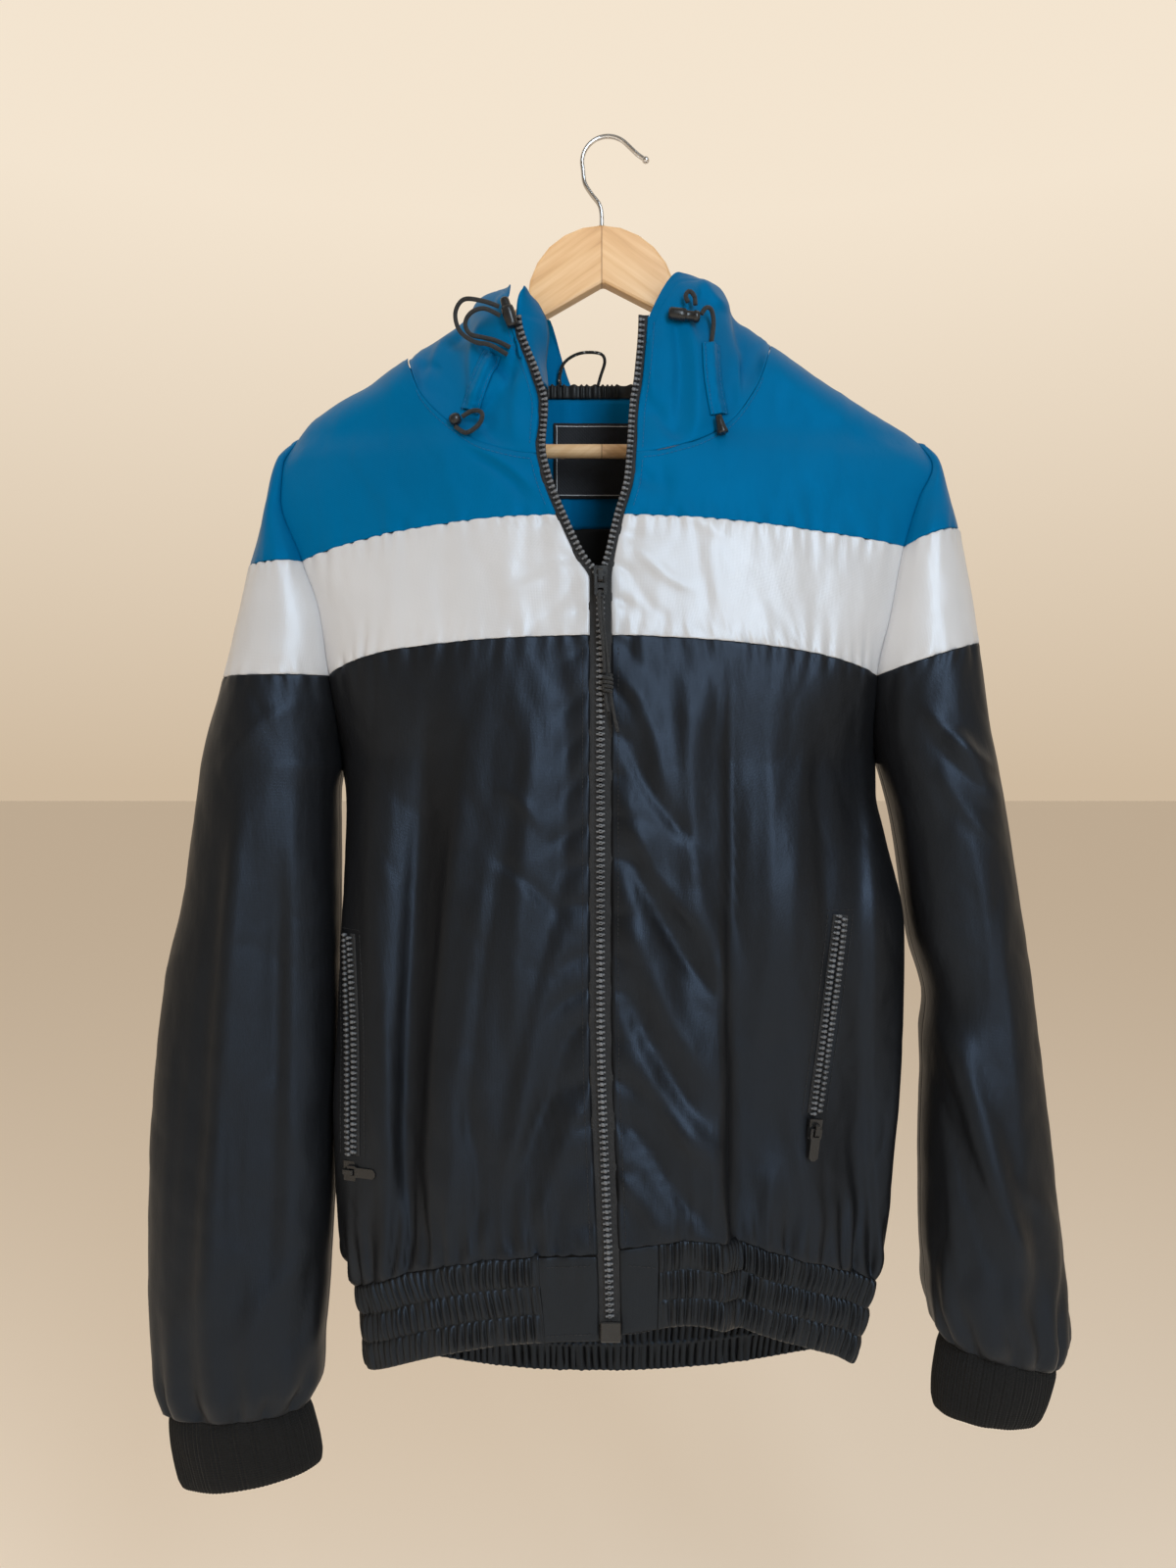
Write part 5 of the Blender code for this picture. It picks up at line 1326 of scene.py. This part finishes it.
def tooth_shape():
    """One moulded tooth: a rounded head over the coil of tape, and a narrower root."""
    head = rounded_block(2.6, TOOTH["length"], TOOTH["height"], 0.5)
    root = rounded_block(2.4, 1.3, TOOTH["height"] - 0.5, 0.4)
    points = [(x + 0.5, y, z) for x, y, z in head[0]] + [(x - 1.3, y, z) for x, y, z in root[0]]
    faces = list(head[1]) + [tuple(c + len(head[0]) for c in face) for face in root[1]]
    return points, faces


def toothed(points, normals, start, inward):
    """Frames of a row of teeth whose heads point to the side that inward says."""
    frames = []
    for place, across, along, out in frames_along(points, normals, TOOTH["pitch"], start):
        frames.append((place, across if across.dot(inward) > 0 else -across, along, out))
    return frames


def make_main_zip():
    """Woven tapes, and moulded teeth that mesh below the slider."""
    for side, name in SIDES.items():
        z = np.linspace(ZIP_TOP - 0.5, -812.0, 240)
        places = np.array([0.5, 1.2, 2.2, 3.4, 4.6, 5.8, 7.6])
        lift = np.array([0.7, 1.0, 0.9, 0.3, 0.1, 0.2, 0.0])
        x = zip_x(side, z)[:, None] + side * places[None, :]
        y = TORSO("front_middle", z)[:, None] + 0.2 - lift[None, :] + 0 * x
        y = y + 0.35 * noise(z / 14, z * 0, 90 + side)[:, None] * (places / 7)[None, :]
        tape = np.stack([x, y, np.broadcast_to(z[:, None], x.shape)], axis=-1)
        tape = tape[:, ::-1] if side == LEFT else tape
        shell(f"zip_tape_{name}", "weave", tape, TAPE, thickness=0.8)
        z = np.linspace(ZIP_TOP - 1.5, ZIP_END, 300)
        apart = 0.35 + 2.0 * smoothstep((z - SLIDER_Z) / 24)
        row = np.stack([zip_x(side, z) + side * apart, TORSO("front_middle", z) - 0.9, z], axis=-1)
        start = 1.0 + (side == RIGHT) * TOOTH["pitch"] / 2
        frames = toothed(row, to_front(len(z)), start, np.array([-side, 0, 0]))
        dress(repeated(f"main_teeth_{name}", tooth_shape(), frames), TEETH)


POCKET = {
    # path, and half the gap between the rows at the ends and in the middle
    LEFT: (((-175, -555), (-171, -621), (-170, -700)), (1.2, 2.0)),
    RIGHT: (((153, -541), (145, -612), (137, -674)), (1.2, 2.1)),
}
POCKET_EDGE = (  # place across the tape, lift off the cloth
    *((-5.4, 0.1), (-4.6, 0.5), (-3.4, 0.6), (-2.2, 0.4), (-0.8, -0.4)),
    *((0.8, -0.4), (2.2, 0.4), (3.4, 0.6), (4.6, 0.5), (5.4, 0.1)),
)


def make_pocket_zips():
    """Two rows of teeth a little apart on their tapes, with the dark pocket between them."""
    count = 60
    for side, name in SIDES.items():
        tree = tree_of(f"front_lower_{name}")
        path, (closed, gaping) = POCKET[side]
        middle, beside = ribbon(path, count)
        apart = mix(closed, gaping, np.sin(math.pi * np.linspace(0, 1, count)) ** 0.8)
        strips = []
        for place, lift in POCKET_EDGE:
            points, normals = lay(tree, middle + beside * place)
            strips.append(points + normals * (lift + 0.25))
        strip = facing_front(np.stack(strips, axis=1))
        shell(f"pocket_zip_{name}", "tape", strip, TAPE, thickness=0.8)
        frames = []
        for way in (-1, 1):
            points, normals = lay(tree, middle + beside * (way * (apart[:, None] + 0.6)))
            smooth = [np.convolve(column, np.ones(9) / 9, "same") for column in normals.T]
            row = points + normals * 1.0
            inward = -way * beside[count // 2]
            frames += toothed(row, unit(np.stack(smooth, -1)), 1.0 + (way > 0) * 1.8, inward)
        dress(repeated(f"pocket_teeth_{name}", tooth_shape(), frames), TEETH)


def softened(node, name, bevel, body=BODY):
    """The node's own shape in plastic with its edges rounded."""
    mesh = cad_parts[node].data.copy()
    mesh.materials.clear()
    obj = add(name, mesh)
    edge = obj.modifiers.new("edge", "BEVEL")
    edge.width = bevel * MM
    edge.segments = 2
    edge.limit_method = "ANGLE"
    edge.angle_limit = math.radians(35)
    dress(obj, PLASTIC, [node], body)


def make_hardware():
    softened("zip_slider", "main_slider_body", 0.5)
    softened("zip_pull", "main_pull_bail", 0.3, "main_zip_pull")
    softened("zip_box", "main_zip_box", 0.5)
    for name in SIDES.values():
        softened(f"pocket_slider_{name}", f"pocket_slider_{name}_body", 0.5)
        softened(f"pocket_pull_{name}", f"pocket_pull_{name}_tab", 0.3, f"{name}_pocket_pull")


# ---------------------------------------------------------------- cords

CORD = 2.1
HOOD_CORD = 3.0
LOOP_CORD = 2.3
ZIP_CORD_LOOP = numbers(
    """-3.6 -77.5 -383.2; -4.4 -77.6 -366; -6.8 -78 -345; -7.2 -77 -334.5; -6.1 -73.7 -330.6
    -5.2 -71.3 -334.5; -4.4 -73.2 -350; -2.4 -76 -368; -0.6 -77.2 -383.2"""
)
ZIP_CORD_TAILS = {
    "zip_cord_tail_right": numbers(
        """0.4 -77.8 -396.1; 2 -78.2 -407; 5 -78.8 -421"""
    ),
    "zip_cord_tail_left": numbers(
        """-3 -77.8 -396.4; -2.4 -78.4 -402; -1.2 -79 -408"""
    ),
}
KNOT = {"at": (-1.5, -77.5, -390.0), "width": 7.6, "height": 12.6}
HOOD_CORDS = {
    "hood_cord_left_outer": numbers(
        """-73.2 -49.5 -137.5; -84 -50 -134; -97 -46 -131.5; -103 -42 -139; -100 -42 -151
        -90 -46 -159.5; -79 -52.4 -164; -68 -47.3 -168.5"""
    ),
    "hood_cord_left_inner": numbers(
        """-72.4 -49.5 -143.5; -83 -50 -139; -92 -46 -140.2; -96.3 -43 -146.2; -93 -44.5 -153.8
        -84 -47.5 -157.3; -75 -49.5 -160.3; -66 -47.2 -163.8"""
    ),
    "hood_cord_left_low": numbers(
        """-97.5 -52.3 -211.5; -90 -54 -208; -84 -56 -210; -85.5 -56 -217; -94 -56 -223
        -101.8 -52.4 -218.1"""
    ),
    "hood_cord_right_low": numbers(
        """61.4 -46.5 -141.5; 64.5 -46 -137; 68.3 -44 -137.5; 70 -42.5 -146; 68.5 -42.4 -159.2"""
    ),
    "hood_cord_right_high": numbers(
        """52.5 -46.5 -133.5; 51 -46.3 -129; 53.5 -46 -125.8; 56.8 -46.3 -129.5
        57.4 -46.5 -135.2"""
    ),
}
HANGING_LOOP = numbers(
    """-34 21.5 -167.2; -34.5 22 -160; -31 22 -150; -20 22 -143.5; -6 22 -143.5; -2 22 -149
    -5 22 -160; -7 21.5 -167.2"""
)


def smooth_path(keys, spacing):
    """Evenly spaced points on a smooth curve through the route's own points, and its length."""
    fine = profile_points(keys, np.linspace(0, 1, 40 * len(keys)))
    length = lengths_along(fine)
    even = np.linspace(0, length[-1], max(4, round(length[-1] / spacing) + 1))
    return np.stack([np.interp(even, length, fine[:, k]) for k in range(3)], axis=-1), length[-1]


def cord_curve(name, points, diameter, material, node, body=BODY):
    curve = bpy.data.curves.new(name, "CURVE")
    curve.dimensions = "3D"
    curve.bevel_depth = diameter / 2 * MM
    curve.bevel_resolution = 4
    curve.use_fill_caps = True
    spline = curve.splines.new("POLY")
    spline.points.add(len(points) - 1)
    for spot, point in zip(spline.points, points):
        spot.co = (*(point * MM), 1)
    return dress(add(name, curve), material, [node], body)


def routed(node, keys, diameter, material=CORD_BLACK, body=BODY, spacing=1.6):
    """A braided cord along its route, with its points and length."""
    points, length = smooth_path(keys, spacing)
    return cord_curve(node + "_braid", points, diameter, material, node, body), points, length


def make_knot(body):
    """Barrel knot: four turns of the cord round its own two strands."""
    turns, radius = 4, KNOT["width"] / 2 - CORD / 2
    angle = np.linspace(0, TAU * turns, 40 * turns)
    half = KNOT["height"] / 2 - CORD / 2
    height = np.linspace(half, -half, len(angle))
    swell = radius * (0.75 + 0.25 * np.sin(math.pi * np.linspace(0.1, 0.9, len(angle))))
    coil = np.stack([swell * np.cos(angle), swell * np.sin(angle), height], axis=-1)
    points = coil + KNOT["at"]
    return cord_curve("zip_cord_knot_braid", points, CORD * 1.1, CORD_BLACK, "zip_cord_knot", body)


def make_cords():
    for node, keys in HOOD_CORDS.items():
        cord = routed(node, keys, HOOD_CORD)
    pull = "main_zip_pull"
    pieces = [make_knot(pull)]
    for node, keys in ZIP_CORD_TAILS.items():
        pieces.append(routed(node, keys, CORD, body=pull)[0])
    cord = routed("zip_cord_loop", ZIP_CORD_LOOP, CORD, body=pull)
    cord = routed("hanging_loop", HANGING_LOOP, LOOP_CORD, CORD_FLECK, spacing=1.2)


# ---------------------------------------------------------------- hood trims


def turned(name, material, profile, place, axis, squash=1.0, nodes=()):
    """A turned piece: profile rows are (distance along the axis, radius)."""
    sides = 28
    axis = unit(np.array(axis, float))
    first = unit(np.cross(axis, [0.0, 1.0, 0.0]))
    second = np.cross(axis, first)
    points, faces = [], []
    for along, radius in profile:
        for k in range(sides):
            turn = TAU * k / sides
            out = first * math.cos(turn) + second * math.sin(turn) * squash
            points.append(np.array(place) + axis * along + out * radius)
    for i in range(len(profile) - 1):
        for k in range(sides):
            n = (k + 1) % sides
            faces.append((i * sides + k, i * sides + n, (i + 1) * sides + n, (i + 1) * sides + k))
    faces.append(tuple(range(sides))[::-1])
    faces.append(tuple((len(profile) - 1) * sides + k for k in range(sides)))
    return dress(add(name, polygon_mesh(name, points, faces)), material, nodes)


LOCKS = {
    # squash, axis, and the turned profile: distance along the axis and radius
    "cord_lock_left": (
        0.95,
        (-math.sin(math.radians(18)), 0, math.cos(math.radians(18))),
        """-10.2 2.6; -9.8 3.3; -8.6 3.9; -2 4.3; 1.5 4.3; 3.4 4; 3.8 3.2; 4.2 3.1; 8 3
        9.4 2.7; 10.2 1.6""",
    ),
    "cord_lock_right": (
        0.95,
        (1, 0.04, -0.12),
        """-10.6 2.6; -10.1 3.6; -9 4.1; -3 4.3; 0.5 4.3; 1.2 3.5; 1.8 3.3; 6 3.3; 6.8 4
        9.2 4; 10.5 2.8""",
    ),
    "cord_stop_left": (
        1.0,
        (1, 0, 0.5),
        "-3.9 1.4; -3.5 2.6; -2 3.7; 0 4; 2 3.7; 3.5 2.6; 3.9 1.4",
    ),
    "cord_stop_right": (
        1.0,
        (0.25, -0.05, -1),
        "-6.3 1.7; -5.8 2.3; -2 2.6; 2 3.2; 5 3.9; 6 3.8; 6.3 3",
    ),
}


def make_locks():
    """Cord locks at the hood's opening and the stops at the ends of its cord tunnels."""
    for node, (squash, axis, profile) in LOCKS.items():
        low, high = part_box(node)
        centre = (np.array(low) + np.array(high)) / 2 / MM
        turned(node + "_body", PLASTIC, numbers(profile), centre, axis, squash, [node])


TUNNELS = {
    LEFT: ((-78, -166), (-86, -186), (-93, -206)),
    RIGHT: ((68, -160), (69, -184), (73, -209)),
}
TUNNEL_EDGE = {-6.4: 0.1, -5.6: 1.0, -4.6: 0.7, -3.0: 1.5, -1.5: 2.7, 0.0: 3.2}
TUNNEL_STITCHES = 4.6


def make_tunnels():
    """Cord tunnels: a strip with a raised middle and a stitched edge on each side."""
    count = 40
    places = [*TUNNEL_EDGE, *[-place for place in list(TUNNEL_EDGE)[-2::-1]]]
    for side, name in SIDES.items():
        tree = tree_of(f"hood_{name}")
        middle, beside = ribbon(TUNNELS[side], count)
        strips, edges = [], []
        for place in places:
            points, normals = lay(tree, middle + beside * place)
            wobble = 0.45 * noise(np.linspace(0, 11, count), np.zeros(count) + place / 3, 95)
            lift = TUNNEL_EDGE[-abs(place)] + 0.5 + wobble
            strips.append(points + normals * lift[:, None])
            if abs(place) == TUNNEL_STITCHES:
                edges.append((strips[-1], normals))
        strip = facing_front(np.stack(strips, axis=1))
        shell(f"cord_tunnel_{name}", "cloth", strip, BLUE, thickness=0.6)
        stitches(f"tunnel_stitches_{name}", edges, THREAD_BLUE)


# ---------------------------------------------------------------- inside of the back


def back_place(x, z):
    """Points of the back's own surface at a given x."""
    side = RIGHT if x > BACK_MIDDLE else LEFT
    width = np.abs(TORSO(SIDES[side], z) * side - BACK_MIDDLE)
    return torso("back", side, abs(x - BACK_MIDDLE) / width, z)


def back_sheet(half_left, half_right, top, bottom, depth, relief):
    """Points on the inside of the back, seen from the front."""
    x = np.linspace(half_right, -half_left, max(12, round((half_left + half_right) / STEP)))
    z = np.linspace(top, bottom, max(6, round((top - bottom) / STEP)))
    columns = [np.stack([np.full(len(z), at), back_place(at, z)[:, 1] - depth, z], -1) for at in x]
    grid = np.stack(columns, axis=1)
    grid[..., 1] -= relief(grid[..., 0], grid[..., 2])
    return grid[:, ::-1]


def make_inside():
    """Facing, lining and bare label, where the open collar shows them."""

    def wavy(x, z):
        return 0.5 * noise(x / 24, z / 40, 101)

    def pleated(x, z):
        return wavy(x, z) + 0.5 * np.exp(-(((x + 31) / 1.5) ** 2))

    def loose(x, z):
        return 1.2 * noise(x / 20, z / 70, 102)

    facing = back_sheet(84, 74, -177, -270, 2.0, pleated)
    lining = back_sheet(84, 74, -269.5, -400, 2.0, loose)
    label = back_sheet(39, 26, -194, -248, 3.4, wavy)
    shell("back_facing", "cloth", facing, BLUE, thickness=0.5)
    shell("back_lining", "cloth", lining, INSIDE, thickness=0.5)
    shell("neck_label", "weave", label, LABEL, thickness=0.6)
    make_neck_tape()
    make_collar_facing()
    make_label_lines()


def make_neck_tape():
    count = 9
    x = np.linspace(52, -62, 300)
    tape = np.array([[back_place(at, z) for at in x] for z in np.linspace(-167, -176, count)])
    along = tape[..., 0]
    phase = along / 5.0 + 0.9 * noise(along / 13, along * 0, 103)
    ridge = (0.5 + 0.5 * np.cos(TAU * phase)) ** 1.3
    round_top = np.sin(math.pi * np.linspace(0.12, 0.95, count)) ** 0.5
    tape[..., 1] -= 1.4 + (1.1 + 1.5 * ridge) * round_top[:, None]
    tape[..., 2] += 1.1 * ridge * np.linspace(1, -0.4, count)[:, None]
    shell("neck_tape", "gathered", tape[:, ::-1], TRIM, thickness=0.6)


TURNED_IN = Table(
    "z outer inner",
    """-121 -57 -53.5; -126 -60 -48.5; -132 -61.5 -45; -139 -62 -42; -149 -62 -40.5
    -160 -60 -41.5; -170 -56 -42.4; -179 -50 -41.5; -187 -44 -41""",
)


def make_collar_facing():
    """The strip of the left collar's inside that is turned towards the opening."""
    z, t = np.meshgrid(np.linspace(-121, -187, 34), np.linspace(0, 1, 12), indexing="ij")
    outer = np.where(z > ZIP_TOP - 2, TURNED_IN("outer", z), zip_x(LEFT, z) - 1.5)
    x = mix(outer, TURNED_IN("inner", z), t)
    y = TORSO("front_middle", np.minimum(z, ZIP_TOP)) + 1.6 + 15 * t**1.4
    y = y - 1.4 * np.sin(math.pi * t) + 0.7 * noise(x / 9, z / 22, 105)
    shell("collar_facing", "left", np.stack([x, y, z], axis=-1), BLUE, thickness=0.6)


LABEL_BORDER = -36.6, 23.6, -196.4, -245.6
LABEL_STEP = 1.2


def make_label_lines():
    """The label's plain border lines and its small round spot, with nothing written."""
    tree = tree_of("neck_label")
    left, right, top, bottom = LABEL_BORDER
    corners = ((left, top), (right, top), (right, bottom), (left, bottom), (left, top))
    frames = []
    for (x0, z0), (x1, z1) in zip(corners, corners[1:]):
        t = np.linspace(0, 1, max(3, int(math.hypot(x1 - x0, z1 - z0) / LABEL_STEP)))
        line, _ = lay(tree, np.stack([mix(x0, x1, t), 0 * t, mix(z0, z1, t)], axis=-1))
        frames += frames_along(line + [0, -0.3, 0], to_front(len(line)), LABEL_STEP)
    dress(repeated("label_border", rounded_block(0.55, 1.25, 0.12, 0.04), frames), LABEL_LINE)
    spot = cast(tree, -10.5, -238.5)[0] - np.array([0, 0.45, 0])
    turned("label_spot", LABEL_LINE, ((-0.3, 3.2), (0.1, 3.2), (0.2, 3.0)), spot, (0, -1, 0))


# ---------------------------------------------------------------- hanger

HOOK_WIRE = 3.4
HOOK_BEND = {"z": -16.6, "radius": 16.6 + HOOK_WIRE / 2, "turn": (194, 47)}
HOOK_STEM = ((-4.5, -62.7), (-4.6, -53.0), (-6.4, -46.0), (-11.7, -39.0), (-16.4, -31.0))
HOOK_TAIL = ((20.5, -10.8), (26.5, -15.0))
BALL = numbers("-2.6 0.6; -2.2 1.5; -1.2 2.3; 0 2.6; 1.2 2.3; 2.2 1.5; 2.6 0.6")
COLLAR = ((-0.8, 3.4), (0.4, 3.3), (0.9, 2.6), (1.0, 1.8))


def make_hanger():
    """The hook drawn as smooth wire with its ball, and the wood and bar with their own grain."""
    keys = [(x, 0, z) for x, z in HOOK_STEM]
    for step in range(12):
        turn = math.radians(mix(*HOOK_BEND["turn"], step / 11))
        x, z = (HOOK_BEND["radius"] * part for part in (math.cos(turn), math.sin(turn)))
        keys.append((x, 0, HOOK_BEND["z"] + z))
    keys += [(x, 0, z) for x, z in HOOK_TAIL]
    points, _ = smooth_path(keys, 1.5)
    hook = cord_curve("hook_wire", points, HOOK_WIRE, STEEL, "hanger_hook").data
    hook.bevel_resolution = 6
    hook.bevel_depth = 1.0
    for point in hook.splines[0].points:
        point.radius = HOOK_WIRE / 2 * MM
    turned("hook_end", STEEL, BALL, points[-1], points[-1] - points[-3])
    turned("hook_collar", STEEL, COLLAR, (-4.5, 0, -62.6), (0, 0, 1))
    for node in ("hanger_wood", "hanger_bar"):
        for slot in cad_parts[node].material_slots:
            slot.material = WOOD


# ---------------------------------------------------------------- stitching


HEM_STITCHES = -764.0, -808.0


def make_stitching():
    """Rows of thread beside the zip, round the hem blocks, the pockets and the neck seam."""
    dark, blue = [], []

    def line(rows, tree, path, count):
        rows.append(lay(tree, flat_curve(path, count)))

    for side, name in SIDES.items():

        def beside_zip(away, start, end, keys):
            away = side * (TAPE_WIDTH + away)
            return [(float(zip_x(side, z)) + away, z) for z in np.linspace(start, end, keys)]

        lower = tree_of(f"front_lower_{name}")
        line(dark, lower, beside_zip(4.5, -366, -752, 14), 160)
        path = POCKET[side][0]
        for away in (-9.0, 9.0):
            line(dark, lower, [(x + away, z) for x, z in path], 60)
        x, z = path[0]
        line(dark, lower, [(x - 9, z + 3), (x + 9, z + 3)], 8)
        yoke = tree_of(f"front_yoke_{name}")
        line(blue, yoke, beside_zip(4.5, -242, -272, 5), 20)
        line(blue, tree_of(f"hood_{name}"), beside_zip(4.0, -146, -232, 7), 50)
        share = np.linspace(0.03, 0.5, 30)
        z = NECK["front"](name, share) - 4.0
        line(blue, yoke, list(zip(torso("front", side, share, z)[:, 0], z)), 70)
        block = tree_of(f"hem_block_{name}")
        inner, outer = side * 12.0, side * (TAPE_WIDTH + HEM_BLOCK[side] - 3)
        for z in HEM_STITCHES:
            line(dark, block, [(inner, z), (outer, z - 1.5)], 20)
    stitches("dark_stitching", dark, THREAD_DARK)
    stitches("blue_stitching", blue, THREAD_BLUE)


# ---------------------------------------------------------------- how the cloth pieces hang, as a table

SHEETS = """
back_yoke_cloth draped hanger_wood
back_band_cloth hung back_yoke
back_lower_cloth hung back_band
hem_elastic_cloth gathered back_lower
neck_tape_gathered gathered back_yoke
back_facing_cloth hung neck_tape
back_lining_cloth hung back_facing
neck_label_weave hung back_facing
collar_facing_left hung hood_left
front_yoke_*_cloth draped hanger_wood
front_band_*_cloth hung front_yoke_*
front_lower_*_cloth hung front_band_*
hem_block_*_cloth hung front_lower_*
sleeve_cap_*_cloth draped hanger_wood
sleeve_band_*_cloth hung sleeve_cap_*
sleeve_main_*_cloth hung sleeve_band_*
cuff_*_knit hung sleeve_main_*
hood_*_cloth draped front_yoke_*
cord_tunnel_*_cloth hung hood_*
"""


def declare_sheets():
    """Reads the table of how each cloth piece is held and what it hangs from into rows; nothing
    more is done with them. A row with a star stands for the left piece and the right one."""
    rows = SHEETS.strip().splitlines()
    both = [row for row in rows if "*" in row]
    found = [row for row in rows if "*" not in row]
    found += [row.replace("*", name) for name in SIDES.values() for row in both]


# ---------------------------------------------------------------- the whole

make_body()
make_sleeves()
make_hood()
make_hem()
make_cuffs()
make_main_zip()
make_pocket_zips()
make_hardware()
make_cords()
make_locks()
make_tunnels()
make_inside()
make_hanger()
make_stitching()
declare_sheets()

bpy.context.view_layer.update()
